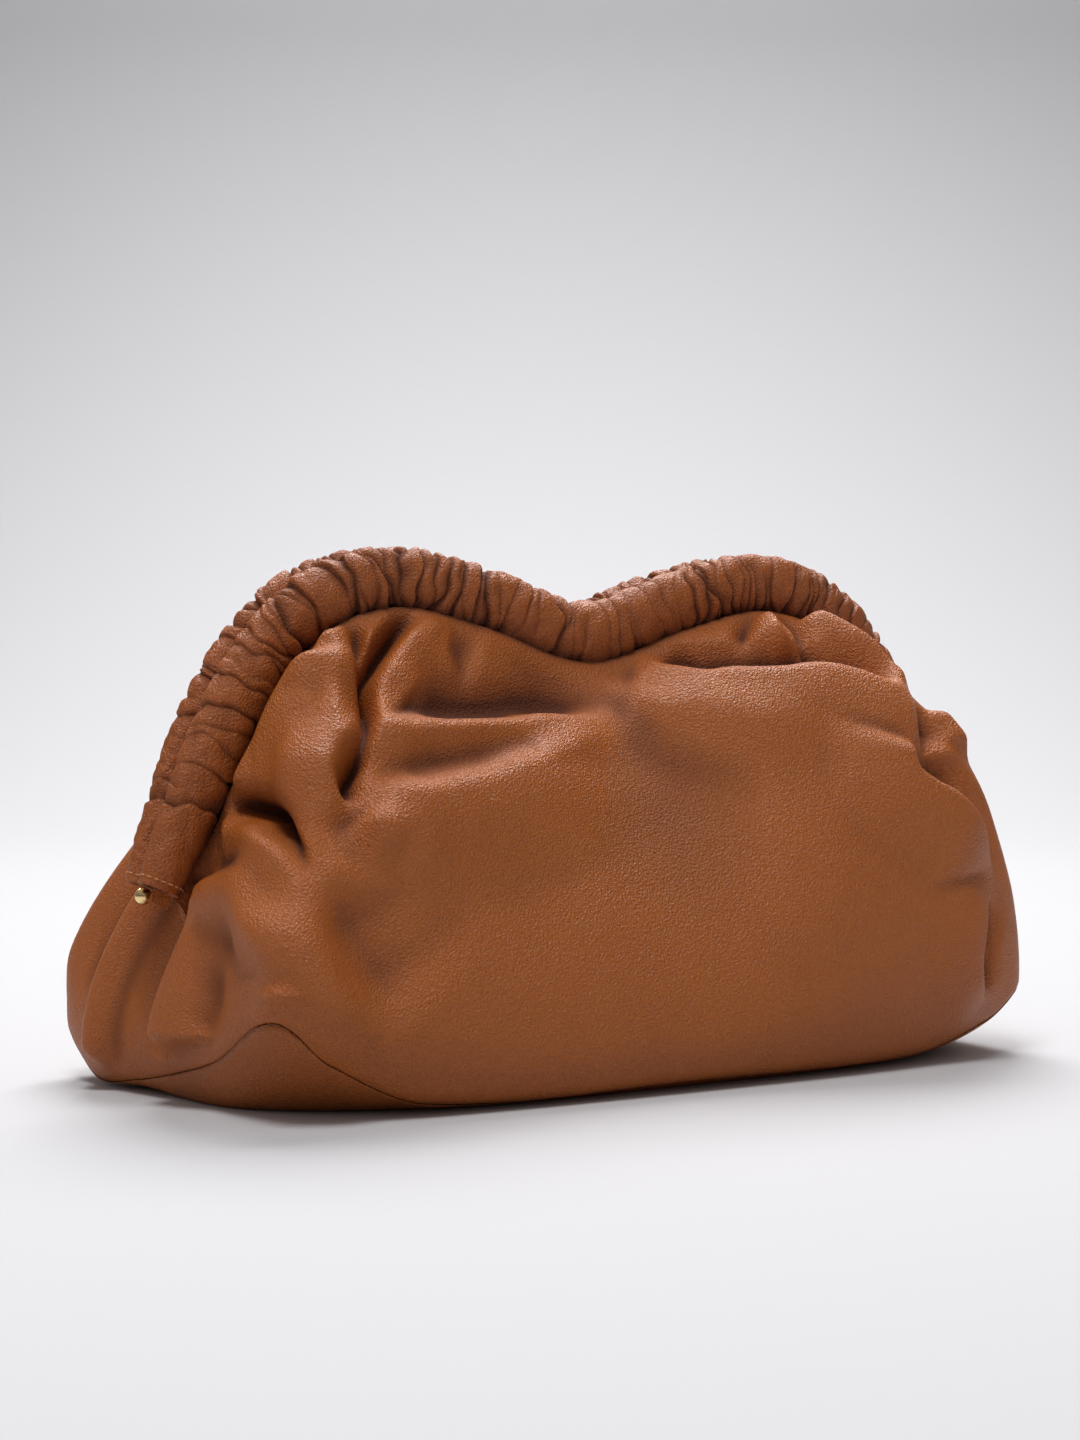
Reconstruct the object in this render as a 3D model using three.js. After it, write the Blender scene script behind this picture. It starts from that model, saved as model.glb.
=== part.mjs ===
import * as THREE from 'three';

// Soft leather pouch clutch on a hidden cloud-shaped frame. Millimetres, +Z up, front faces -Y,
// the left end (X negative) is the end with the visible gold hinge head.
// A place on a wall is (u, v): u runs -1 left end, 0 middle, 1 right end; v runs 0 base seam, 1 sleeve.

// Driving sizes
const WALL = 1.8;                 // leather thickness of the walls and the base
const GAP = 0.3;                  // free space between pieces that touch on the real bag
const FRAME_HALF_SPAN = 181.5;      // half the span of the frame, at its hinge ends
const FRAME_TOP = 189.5;          // height of the frame's centre line at the two humps
const FRAME_DIP = 169;            // height of the centre line at the middle dip
const FRAME_END = 77.5;           // height of the hinge ends
const SLEEVE_HALF_HEIGHT = 12.3;  // sleeve section, across the frame plane
const SLEEVE_HALF_DEPTH = 7.6;    // sleeve section, front to back
const SLEEVE_TAPER = 0.32;        // share the section loses toward the hinge ends
const SLEEVE_RUCHE = 0.13;        // depth of the gathers, share of the section
const SLEEVE_WALL = 2.6;          // gathered leather of a sleeve
const BAR_HALF_HEIGHT = 5.6;      // hidden frame bar, corner to centre across the frame plane
const BASE_HALF_LENGTH = 174;     // base panel, front corners and middle of the ends
const BASE_HALF_DEPTH = 76;       // base panel, middle to front seam
const BACK_HALF_LENGTH = 184;     // base panel, back corners
const BACK_HALF_DEPTH = 80;       // base panel, middle to back seam
const SEAM_RISE = 36;              // highest corner of the base seam
const FLAT_HALF_LENGTH = 166;      // part of the base that rests on the surface
const FLAT_HALF_DEPTH = 71;        // the same, toward the front
const FLAT_BACK_DEPTH = 74;        // the same, toward the back
const BELLY_OUT = 42;              // pull of the lower wall out of the seam
const BELLY_UP = 46;               // pull of the lower wall upward
const SHOULDER_OUT = 80;           // pull of the upper wall out of the sleeve
const FOLD_RISE = 13;              // height of the tallest fold
const FOLD_WIDTH = 44;             // flank of the widest fold
const CORNER = 15;                // rounding of the base corners, seen from above
const LEAVE = 34;                 // degrees round the sleeve where the wall leaves it
const END_FROM = 0.80;            // |u| from which the wall turns under the hinge end
const KNOB_RADIUS = 3.15;         // gold hinge head
const KNOB_OUTSET = 2.1;          // hinge head, how far its centre lies outside the frame's line
const TAB_WIDTH = 8;              // small tab under the front sleeve's end, across the frame
const TAB_LENGTH = 5;             // the same, out past the hem
const TAB_THICK = 1.4;            // the same, front to back
const TAB_SHIFT = 1.5;            // the tab's middle, inward from the frame's line
const TAB_ASIDE = 6.6;            // the tab's middle, in front of the mouth
const COLUMNS_FRONT = 62;
const ROWS_FRONT = 16;
const COLUMNS_BACK = 50;
const ROWS_BACK = 12;
const SLEEVE_SECTIONS = 72;
const BAR_SECTIONS = 25;
const KNOB_STEPS = 5;
const KNOB_SIDES = 9;

// Half of the frame centre line, middle to hinge end: x as share of the half span,
// height as share of the rise from the hinge ends to the humps
const FRAME_RISE = FRAME_TOP - FRAME_END;
const FRAME = [
  { x: 0.000, up: (FRAME_DIP - FRAME_END) / FRAME_RISE },
  { x: 0.232, up: 0.924 },
  { x: 0.459, up: 1 },
  { x: 0.652, up: 0.924 },
  { x: 0.788, up: 0.71 },
  { x: 0.893, up: 0.406 },
  { x: 1, up: 0 },
];

// Height of the base seam above the surface along each wall, as share of SEAM_RISE
const SEAM_FRONT = [
  { u: -1, rise: 0.278 },
  { u: -0.86, rise: 0.528 },
  { u: -0.705, rise: 1 },
  { u: -0.62, rise: 0.583 },
  { u: -0.46, rise: 0.111 },
  { u: 0, rise: 0.083 },
  { u: 0.46, rise: 0.111 },
  { u: 0.62, rise: 0.417 },
  { u: 0.705, rise: 0.722 },
  { u: 0.86, rise: 0.444 },
  { u: 1, rise: 0.333 },
];
const SEAM_BACK = [
  { u: -1, rise: 0.278 },
  { u: -0.9, rise: 0.139 },
  { u: -0.8, rise: 0.083 },
  { u: -0.705, rise: 0.5 },
  { u: -0.62, rise: 0.333 },
  { u: -0.46, rise: 0.111 },
  { u: 0, rise: 0.083 },
  { u: 0.46, rise: 0.111 },
  { u: 0.62, rise: 0.333 },
  { u: 0.705, rise: 0.556 },
  { u: 0.86, rise: 0.333 },
  { u: 1, rise: 0.333 },
];

// Wall profiles: how far the belly stands out of the seam (share of BELLY_OUT) and how high (share of
// BELLY_UP), how far the shoulder reaches out of the sleeve (share of SHOULDER_OUT), and how much of
// that reach drops toward the middle of the frame
const PROFILE_FRONT = [
  { u: -1, belly: 0.238, up: 0.435, reach: 0.35, drop: 0.8 },
  { u: -0.9, belly: 0.19, up: 0.565, reach: 0.4, drop: 0.4 },
  { u: -0.8, belly: 0.238, up: 0.696, reach: 0.575, drop: 0.3 },
  { u: -0.7, belly: 0.286, up: 0.696, reach: 0.725, drop: 0.3 },
  { u: -0.55, belly: 0.619, up: 0.435, reach: 0.85, drop: 0.5 },
  { u: -0.42, belly: 0.81, up: 0.174, reach: 0.8, drop: 0.8 },
  { u: -0.25, belly: 0.952, up: 0, reach: 0.775, drop: 1 },
  { u: 0, belly: 1, up: -0.043, reach: 0.825, drop: 0.9 },
  { u: 0.2, belly: 0.952, up: -0.043, reach: 0.925, drop: 0.5 },
  { u: 0.4, belly: 0.81, up: 0.043, reach: 0.975, drop: 0.3 },
  { u: 0.55, belly: 0.571, up: 0.348, reach: 1, drop: 0.1 },
  { u: 0.68, belly: 0.095, up: 0.565, reach: 0.875, drop: -0.15 },
  { u: 0.78, belly: 0.048, up: 0.522, reach: 0.65, drop: -0.2 },
  { u: 0.88, belly: 0.048, up: 0.478, reach: 0.425, drop: 0.1 },
  { u: 1, belly: 0.095, up: 0.478, reach: 0.325, drop: 0.6 },
];
const PROFILE_BACK = [
  { u: -1, belly: 0.238, up: 0.435, reach: 0.35, drop: 0.8 },
  { u: -0.9, belly: 0.476, up: 0.739, reach: 0.3, drop: 0.8 },
  { u: -0.8, belly: 0.429, up: 0.913, reach: 0.4, drop: 0.9 },
  { u: -0.7, belly: 0.238, up: 1, reach: 0.5, drop: 0.9 },
  { u: -0.55, belly: 0.571, up: 0.652, reach: 0.65, drop: 0.8 },
  { u: -0.3, belly: 0.857, up: 0.13, reach: 0.825, drop: 0.7 },
  { u: 0, belly: 0.905, up: 0.043, reach: 0.875, drop: 0.7 },
  { u: 0.3, belly: 0.857, up: 0.13, reach: 0.85, drop: 0.6 },
  { u: 0.55, belly: 0.571, up: 0.565, reach: 0.775, drop: 0.5 },
  { u: 0.7, belly: 0.333, up: 0.783, reach: 0.65, drop: 0.3 },
  { u: 0.8, belly: 0.381, up: 0.783, reach: 0.55, drop: 0.3 },
  { u: 0.9, belly: 0.286, up: 0.696, reach: 0.4, drop: 0.4 },
  { u: 1, belly: 0.095, up: 0.478, reach: 0.325, drop: 0.6 },
];

// Folds: a path over the wall as [u, v] places (u beyond 1 or -1 goes on round the end onto the
// back), the rise of its crest as share of FOLD_RISE (negative for a valley), the widths of its two
// flanks as shares of FOLD_WIDTH (a is the left flank of a path seen going down), how far the crest
// leans toward a, the shares of the path over which it grows and dies away, and how the widths
// change from its start to its end. A roll is full and round, and a ledge rolls over on its a side
// and drops within its lip to a trough on its b side.
const FOLDS = [
  { kind: 'roll', rise: 1, a: 0.455, b: 0.369, start: 0.12, end: 0.45, wide: [0.62, 1.15],
    path: [[-0.53, 0.98], [-0.59, 0.93], [-0.65, 0.89], [-0.70, 0.83], [-0.73, 0.76], [-0.74, 0.67],
      [-0.72, 0.54]] },
  { rise: 0.277, a: 0.295, b: 0.295, start: 0.3, end: 0.5,
    path: [[-0.50, 1.00], [-0.56, 0.95], [-0.59, 0.94]] },
  { rise: -0.203, a: 0.295, b: 0.295, start: 0.3, end: 0.3,
    path: [[-0.62, 1.00], [-0.60, 0.97], [-0.54, 0.93]] },
  { rise: -0.111, a: 0.295, b: 0.295, start: 0.3, end: 0.3,
    path: [[-0.67, 0.94], [-0.65, 0.88], [-0.61, 0.85]] },
  { rise: -0.831, a: 0.295, b: 0.295, start: 0.2, end: 0.2,
    path: [[-0.64, 1.00], [-0.70, 1.00], [-0.76, 1.00], [-0.81, 1.00], [-0.84, 1.00]] },
  { rise: -0.831, a: 0.295, b: 0.295, start: 0.25, end: 0.4,
    path: [[-0.84, 0.99], [-0.83, 0.88], [-0.78, 0.67], [-0.71, 0.49]] },
  { kind: 'ledge', rise: 0.554, a: 0.591, b: 0.295, dip: 0.308, lip: 0.25, start: 0.2, end: 0.5,
    path: [[-0.86, 0.99], [-0.84, 0.82], [-0.78, 0.57], [-0.71, 0.42], [-0.68, 0.35]] },
  { rise: -0.554, a: 0.295, b: 0.295, start: 0.15, end: 0.3,
    path: [[-0.46, 1.00], [-0.50, 0.95], [-0.54, 0.91], [-0.57, 0.85]] },
  { kind: 'roll', rise: 0.369, a: 0.295, b: 0.295, start: 0.12, end: 0.5,
    path: [[-0.42, 1.00], [-0.47, 0.94], [-0.52, 0.90], [-0.56, 0.88]] },
  { rise: -1.108, a: 0.295, b: 0.295, start: 0.08, end: 0.25,
    path: [[-0.34, 1.00], [-0.41, 0.94], [-0.49, 0.89], [-0.57, 0.84], [-0.60, 0.79], [-0.62, 0.72]] },
  { rise: -0.462, a: 0.295, b: 0.295, start: 0.2, end: 0.4,
    path: [[-0.62, 0.73], [-0.65, 0.70], [-0.65, 0.64], [-0.64, 0.58]] },
  { kind: 'ledge', rise: 0.923, a: 0.682, b: 0.295, dip: 0.154, lip: 0.25, lean: -0.1,
    start: 0.35, end: 0.08,
    path: [[-0.57, 0.81], [-0.54, 0.84], [-0.49, 0.86], [-0.41, 0.91], [-0.34, 0.96]] },
  { rise: 0.462, a: 0.295, b: 0.295, start: 0.1, end: 0.6,
    path: [[-0.32, 0.96], [-0.33, 0.93], [-0.36, 0.89]] },
  { rise: -0.462, a: 0.295, b: 0.295, start: 0.08, end: 0.5,
    path: [[-0.25, 1.00], [-0.24, 0.94], [-0.27, 0.86]] },
  { rise: -0.277, a: 0.295, b: 0.295, start: 0.08, end: 0.5,
    path: [[-0.21, 1.00], [-0.23, 0.92], [-0.27, 0.83]] },
  { rise: -0.538, a: 0.318, b: 0.682, start: 0.3, end: 0.3,
    path: [[-0.52, 0.78], [-0.38, 0.77], [-0.23, 0.80], [-0.10, 0.85], [-0.00, 0.89]] },
  { kind: 'ledge', rise: 0.615, a: 0.5, b: 0.5, dip: 0.385, lip: 0.25, lean: -0.25, start: 0.12, end: 0.22,
    path: [[-0.56, 0.83], [-0.57, 0.75], [-0.53, 0.73], [-0.45, 0.73], [-0.36, 0.74], [-0.26, 0.75],
      [-0.18, 0.78], [-0.07, 0.82], [-0.01, 0.85], [0.03, 0.84]] },
  { kind: 'ledge', rise: 0.615, a: 0.909, b: 0.318, dip: 0.308, lip: 0.25, lean: -0.15,
    start: 0.15, end: 0.3,
    path: [[-0.65, 0.59], [-0.60, 0.59], [-0.56, 0.60], [-0.43, 0.63], [-0.30, 0.66], [-0.22, 0.68],
      [-0.14, 0.72], [-0.07, 0.76], [-0.01, 0.82], [0.02, 0.84]] },
  { rise: 0.308, a: 0.364, b: 0.364, start: 0.3, end: 0.6,
    path: [[-0.62, 0.60], [-0.59, 0.56], [-0.54, 0.54]] },
  { rise: -0.323, a: 0.455, b: 0.295, start: 0.3, end: 0.6,
    path: [[-0.68, 0.61], [-0.65, 0.53], [-0.59, 0.46]] },
  { rise: -0.554, a: 0.455, b: 0.295, start: 0.25, end: 0.5,
    path: [[0.04, 0.86], [0.03, 0.82], [0.01, 0.78], [-0.02, 0.74], [-0.07, 0.67]] },
  { rise: 0.554, a: 0.295, b: 0.318, start: 0.2, end: 0.35,
    path: [[-0.00, 0.97], [0.01, 0.93], [0.03, 0.89], [0.04, 0.84], [0.06, 0.80]] },
  { rise: 0.308, a: 0.682, b: 0.364, start: 0.3, end: 0.5,
    path: [[0.05, 0.81], [0.04, 0.78], [0.01, 0.72], [-0.02, 0.67], [-0.08, 0.61]] },
  { kind: 'ledge', rise: 0.692, a: 1, b: 0.318, dip: 0.538, lip: 0.25, lean: -0.25, start: 0.12, end: 0.15,
    path: [[0.04, 1.00], [0.06, 0.97], [0.07, 0.92], [0.10, 0.89], [0.14, 0.86], [0.18, 0.85],
      [0.22, 0.83], [0.27, 0.81], [0.33, 0.81], [0.39, 0.80], [0.44, 0.78], [0.56, 0.80], [0.61, 0.79]] },
  { kind: 'ledge', rise: 0.646, a: 0.364, b: 0.295, dip: 0.154, lip: 0.25, start: 0.3, end: 0.3,
    path: [[1.79, 0.96], [1.75, 0.96], [1.71, 0.98], [1.65, 0.98], [0.28, 0.98], [0.29, 0.95]] },
  { rise: 1.015, a: 0.369, b: 0.369, start: 0.06, end: 0.3, wide: [0.5, 1.5],
    path: [[0.34, 0.97], [0.33, 0.95], [0.31, 0.89], [0.33, 0.85]] },
  { rise: -0.554, a: 0.295, b: 0.295, start: 0.08, end: 0.3,
    path: [[0.40, 1.00], [0.40, 0.94], [0.40, 0.88], [0.43, 0.84]] },
  { rise: -0.462, a: 0.295, b: 0.295, start: 0.08, end: 0.4,
    path: [[0.32, 1.00], [0.28, 0.96], [0.23, 0.91]] },
  { rise: 0.831, a: 0.295, b: 0.295, start: 0.06, end: 0.2,
    path: [[0.43, 0.98], [0.46, 0.95], [0.50, 0.92], [0.56, 0.87], [0.57, 0.77]] },
  { rise: 0.231, a: 0.682, b: 0.409, start: 0.3, end: 0.4,
    path: [[0.03, 0.90], [0.09, 0.82], [0.18, 0.76], [0.32, 0.72]] },
  { rise: -1.015, a: 0.318, b: 0.295, start: 0.2, end: 0.3,
    path: [[0.63, 0.77], [0.58, 0.67], [0.57, 0.62], [0.65, 0.58]] },
  { rise: 0.923, a: 0.295, b: 0.295, start: 0.3, end: 0.3,
    path: [[0.64, 0.78], [0.65, 0.73], [0.66, 0.68], [0.65, 0.65]] },
  { kind: 'ledge', rise: 0.738, a: 1, b: 0.295, dip: 0.231, lip: 0.25, start: 0.15, end: 0.25,
    path: [[0.51, 0.67], [0.48, 0.62], [0.52, 0.59], [0.56, 0.56], [0.59, 0.51], [0.61, 0.46],
      [0.62, 0.40], [0.61, 0.35]] },
  { rise: 0.192, a: 0.318, b: 0.318, start: 0.3, end: 0.4,
    path: [[0.42, 0.55], [0.36, 0.52], [0.33, 0.44]] },
  { rise: -0.308, a: 0.364, b: 0.364, start: 0.3, end: 0.4,
    path: [[0.55, 0.50], [0.50, 0.45], [0.47, 0.39]] },
  { rise: -0.369, a: 0.295, b: 0.295, start: 0.25, end: 0.3,
    path: [[0.61, 0.36], [0.58, 0.29], [0.57, 0.21], [0.59, 0.10]] },
  { rise: 0.846, a: 0.369, b: 0.682, lean: 0.2, start: 0.15, end: 0.12, wide: [1, 0.8],
    path: [[-0.92, 0.89], [-0.92, 0.70], [-1.00, 0.74], [-0.96, 0.42], [-0.97, 0.26], [-0.98, 0.11]] },
  { rise: -0.277, a: 0.295, b: 0.295, start: 0.4, end: 0.3,
    path: [[-0.89, 0.42], [-0.86, 0.23], [-0.90, 0.12]] },
  { rise: 0.308, a: 0.318, b: 0.364, start: 0.3, end: 0.4,
    path: [[-0.91, 0.87], [-0.85, 0.56], [-0.73, 0.24], [-0.71, 0.11]] },
  { rise: -0.462, a: 0.591, b: 0.682, start: 0.3, end: 0.4,
    path: [[-0.70, 0.40], [-0.67, 0.31], [-0.64, 0.24], [-0.60, 0.17]] },
  { rise: 0.24, a: 0.295, b: 0.295, start: 0.3, end: 0.3,
    path: [[-0.72, 0.08], [-0.70, 0.06], [-0.68, 0.09]] },
  { rise: 0.831, a: 0.295, b: 0.295, start: 0.3, end: 0.1,
    path: [[-1.13, 0.90], [-1.14, 0.70], [-1.15, 0.45], [-1.16, 0.04]] },
  { rise: -0.646, a: 0.295, b: 0.295, start: 0.3, end: 0.3,
    path: [[-1.21, 0.85], [-1.22, 0.60], [-1.23, 0.35], [-1.24, 0.15]] },
  { rise: 0.369, a: 0.295, b: 0.295, start: 0.3, end: 0.2,
    path: [[-1.29, 0.75], [-1.29, 0.50], [-1.30, 0.06]] },
  { rise: 0.923, a: 0.409, b: 0.455, start: 0.1, end: 0.4,
    path: [[-1.42, 0.99], [-1.38, 0.88], [-1.34, 0.72], [-1.33, 0.52]] },
  { rise: -0.646, a: 0.295, b: 0.295, start: 0.1, end: 0.4,
    path: [[-1.50, 0.97], [-1.46, 0.86], [-1.43, 0.70]] },
  { rise: 0.646, a: 0.295, b: 0.318, start: 0.08, end: 0.5,
    path: [[-1.62, 0.98], [-1.57, 0.88], [-1.53, 0.74]] },
  { rise: -0.462, a: 0.295, b: 0.295, start: 0.08, end: 0.5,
    path: [[-1.70, 0.97], [-1.66, 0.86], [-1.63, 0.74]] },
  { rise: 0.385, a: 0.318, b: 0.318, start: 0.1, end: 0.5,
    path: [[-1.82, 0.97], [-1.79, 0.88], [-1.76, 0.76]] },
  { rise: 0.615, a: 0.591, b: 0.318, start: 0.3, end: 0.3,
    path: [[-1.40, 0.62], [-1.52, 0.63], [-1.66, 0.66], [-1.82, 0.70], [-1.96, 0.78]] },
  { rise: -0.385, a: 0.318, b: 0.409, start: 0.3, end: 0.3,
    path: [[-1.50, 0.78], [-1.64, 0.77], [-1.80, 0.82]] },
  { rise: 1, a: 0.409, b: 0.455, start: 0.1, end: 0.4,
    path: [[1.44, 0.99], [1.38, 0.89], [1.33, 0.74], [1.31, 0.52]] },
  { rise: -0.646, a: 0.295, b: 0.295, start: 0.1, end: 0.4,
    path: [[1.52, 0.97], [1.47, 0.86], [1.43, 0.70]] },
  { rise: 0.646, a: 0.295, b: 0.295, start: 0.08, end: 0.5,
    path: [[1.63, 0.98], [1.59, 0.88], [1.56, 0.76]] },
  { rise: -0.369, a: 0.295, b: 0.295, start: 0.08, end: 0.5,
    path: [[1.72, 0.97], [1.68, 0.87], [1.66, 0.76]] },
  { rise: 0.615, a: 0.318, b: 0.682, start: 0.3, end: 0.3,
    path: [[1.38, 0.68], [1.52, 0.71], [1.68, 0.73], [1.86, 0.78], [1.98, 0.84]] },
  { rise: 0.231, a: 0.545, b: 0.591, start: 0.3, end: 0.5,
    path: [[1.98, 0.72], [1.90, 0.60], [1.80, 0.46]] },
  { rise: 0.738, a: 0.295, b: 0.295, start: 0.25, end: 0.3,
    path: [[1.22, 0.86], [1.23, 0.66], [1.25, 0.44]] },
  { rise: -0.554, a: 0.295, b: 0.295, start: 0.3, end: 0.3,
    path: [[1.13, 0.80], [1.14, 0.55], [1.15, 0.30]] },
];

const clamp = (x, lo, hi) => Math.min(hi, Math.max(lo, x));
const ease = (x) => {
  const t = clamp(x, 0, 1);
  return t * t * (3 - 2 * t);
};
const radians = (d) => (d * Math.PI) / 180;

// Smooth reading of one column of a table at u
function read(rows, u, column) {
  const last = rows.length - 1;
  const x = clamp(u, rows[0].u, rows[last].u);
  let i = 0;
  while (i < last - 1 && x > rows[i + 1].u) i += 1;
  const slope = (k) => {
    const a = rows[Math.max(0, k - 1)];
    const b = rows[Math.min(last, k + 1)];
    return (b[column] - a[column]) / (b.u - a.u);
  };
  const h = rows[i + 1].u - rows[i].u;
  const t = (x - rows[i].u) / h;
  const t2 = t * t;
  const t3 = t2 * t;
  return (2 * t3 - 3 * t2 + 1) * rows[i][column] + (t3 - 2 * t2 + t) * h * slope(i)
    + (3 * t2 - 2 * t3) * rows[i + 1][column] + (t3 - t2) * h * slope(i + 1);
}

// Points along a smooth curve through control points
function smoothed(points, steps) {
  const curve = new THREE.CatmullRomCurve3(points, false, 'catmullrom', 0.5);
  return curve.getPoints((points.length - 1) * steps);
}

// A line that can be read by the share of its length
class Line {
  constructor(points) {
    this.points = points;
    this.sums = [0];
    for (let i = 1; i < points.length; i += 1) {
      this.sums.push(this.sums[i - 1] + points[i].distanceTo(points[i - 1]));
    }
    this.length = this.sums[points.length - 1];
  }

  at(share) {
    const s = clamp(share, 0, 1) * this.length;
    let i = 1;
    while (i < this.sums.length - 1 && this.sums[i] < s) i += 1;
    const step = this.sums[i] - this.sums[i - 1];
    const t = step > 0 ? (s - this.sums[i - 1]) / step : 0;
    return this.points[i - 1].clone().lerp(this.points[i], t);
  }

  direction(share, step) {
    return this.at(share + step).sub(this.at(share - step)).normalize();
  }
}

// Frame centre line in the XZ plane, left hinge end to right hinge end
const frameHalf = FRAME.map(({ x, up }) => {
  return new THREE.Vector3(x * FRAME_HALF_SPAN, 0, FRAME_END + up * FRAME_RISE);
});
const frameLeft = frameHalf.slice(1).reverse().map((p) => new THREE.Vector3(-p.x, 0, p.z));
const FRAME_LINE = new Line(smoothed([...frameLeft, ...frameHalf], 40));

// Half of the base outline seen from above: left end, corner, front, corner, right end
function seamOutline(halfLength, halfDepth) {
  const corner = new THREE.Vector3(-halfLength, -halfDepth, 0);
  const end = new THREE.Vector3(-BASE_HALF_LENGTH, 0, 0);
  const from = end.clone().sub(corner).setLength(CORNER).add(corner);
  const to = corner.clone().add(new THREE.Vector3(CORNER, 0, 0));
  const bend = new THREE.QuadraticBezierCurve3(from, corner, to).getPoints(12);
  const left = [end, ...bend];
  const right = left.map((p) => new THREE.Vector3(-p.x, p.y, 0)).reverse();
  return new Line([...left, ...right]);
}

const FRONT = {
  seam: seamOutline(BASE_HALF_LENGTH, BASE_HALF_DEPTH),
  rise: SEAM_FRONT,
  profile: PROFILE_FRONT,
  side: 1,
};
const BACK = {
  seam: seamOutline(BACK_HALF_LENGTH, BACK_HALF_DEPTH),
  rise: SEAM_BACK,
  profile: PROFILE_BACK,
  side: -1,
};

function sleeveSize(u) {
  const taper = 1 - SLEEVE_TAPER * clamp((Math.abs(u) - 0.72) / 0.28, 0, 1) ** 1.5;
  return { height: SLEEVE_HALF_HEIGHT * taper, depth: SLEEVE_HALF_DEPTH * taper };
}

// Centre point of the frame at u, and the direction in its plane toward the inside
function frameAt(u) {
  const share = (u + 1) / 2;
  const along = FRAME_LINE.direction(share, 0.006);
  return { point: FRAME_LINE.at(share), inward: new THREE.Vector3(along.z, 0, -along.x) };
}

// Seam point of a wall at u, with the direction that faces out of the base there
function seamAt(wall, u) {
  const share = (u + 1) / 2;
  const point = wall.seam.at(share);
  point.z = SEAM_RISE * read(wall.rise, u, 'rise');
  point.y = Math.min(point.y, -GAP / 2);
  const along = wall.seam.direction(share, 0.02);
  const level = 1 - ease((Math.abs(u) - 0.97) / 0.03);
  return { point, out: new THREE.Vector3(along.y, -along.x * level, 0) };
}

// Plain wall without folds, always built on the -Y side; the back wall is mirrored afterwards
function plainWall(wall, u, v) {
  const { point: low, out } = seamAt(wall, u);
  const { point, inward } = frameAt(u);
  const size = sleeveSize(u);
  const under = ease((Math.abs(u) - END_FROM) / (1 - END_FROM));
  const round = ease(under * 2);
  const below = ease(under * 2 - 1);
  const angle = radians(LEAVE) * (1 - round);
  const inset = (size.height + GAP) * Math.cos(angle) + round * (WALL / 2);
  const top = point.clone().addScaledVector(inward, inset);
  const beside = GAP / 2 + size.depth + (size.depth + GAP) * Math.sin(angle);
  top.y = -(beside * (1 - below) + (GAP / 2) * below);
  const drop = read(wall.profile, u, 'drop');
  const away = new THREE.Vector3(inward.x * drop, -(1 - under), inward.z * drop - under).normalize();
  const first = low.clone().addScaledVector(out, BELLY_OUT * read(wall.profile, u, 'belly'));
  first.z += BELLY_UP * read(wall.profile, u, 'up');
  const second = top.clone().addScaledVector(away, SHOULDER_OUT * read(wall.profile, u, 'reach'));
  const w = 1 - v;
  return low.clone().multiplyScalar(w * w * w)
    .addScaledVector(first, 3 * w * w * v)
    .addScaledVector(second, 3 * w * v * v)
    .addScaledVector(top, v * v * v);
}

// Paths of the folds in space, seen from the frame of one wall
function foldLines(wall) {
  const lines = [];
  for (const fold of FOLDS) {
    const near = fold.path.some(([u]) => Math.abs(Math.abs(u) - 1) < 0.17);
    const own = fold.path.some(([u]) => (Math.abs(u) <= 1) === (wall.side === 1));
    if (!near && !own) continue;
    const flat = smoothed(fold.path.map(([u, v]) => new THREE.Vector3(u, v, 0)), 6);
    const points = flat.map((p) => {
      const front = Math.abs(p.x) <= 1;
      const backU = Math.sign(p.x) * (2 - Math.abs(p.x));
      const place = front ? plainWall(FRONT, p.x, p.y) : plainWall(BACK, backU, p.y);
      if (front !== (wall.side === 1)) place.y = -place.y;
      return place;
    });
    lines.push({ fold, line: new Line(points) });
  }
  return lines;
}

// Shift of one wall point by all folds
function foldShift(point, normal, lines, side) {
  const shift = new THREE.Vector3();
  const nearest = new THREE.Vector3();
  const spot = new THREE.Vector3();
  for (const { fold, line } of lines) {
    let best = Infinity;
    let place = 0;
    let along = null;
    for (let i = 1; i < line.points.length; i += 1) {
      const a = line.points[i - 1];
      const b = line.points[i];
      const ab = b.clone().sub(a);
      const t = clamp(point.clone().sub(a).dot(ab) / ab.lengthSq(), 0, 1);
      spot.copy(a).addScaledVector(ab, t);
      const d = spot.distanceTo(point);
      if (d < best) {
        best = d;
        nearest.copy(spot);
        place = (line.sums[i - 1] + t * (line.sums[i] - line.sums[i - 1])) / line.length;
        along = ab;
      }
    }
    const across = along.clone().cross(normal).normalize().multiplyScalar(side);
    const rolls = point.clone().sub(nearest).dot(across) >= 0;
    const [wideStart, wideEnd] = fold.wide || [1, 1];
    const flank = FOLD_WIDTH * (rolls ? fold.a : fold.b) * (wideStart + (wideEnd - wideStart) * place);
    const r = clamp(best / flank, 0, 1);
    let shape = (1 - r) ** 2 * (1 + 2 * r);
    if (fold.kind === 'roll') shape = Math.sqrt(1 - r ** 2.2) * (0.35 + 0.65 * shape);
    if (fold.kind === 'ledge' && !rolls) {
      const lip = FOLD_WIDTH * fold.lip;
      const fall = ease(best / lip);
      const climb = 1 - ease((best - lip) / Math.max(flank - lip, 1));
      shape = 1 - fall - (fold.dip / fold.rise) * fall * climb;
    }
    const grow = FOLD_RISE * ease(place / fold.start) * ease((1 - place) / fold.end);
    const hang = (fold.lean || 0) * Math.abs(fold.rise) * grow * (1 - r) ** 2;
    shift.addScaledVector(normal, fold.rise * shape * grow).addScaledVector(across, hang);
  }
  return shift;
}

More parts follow.
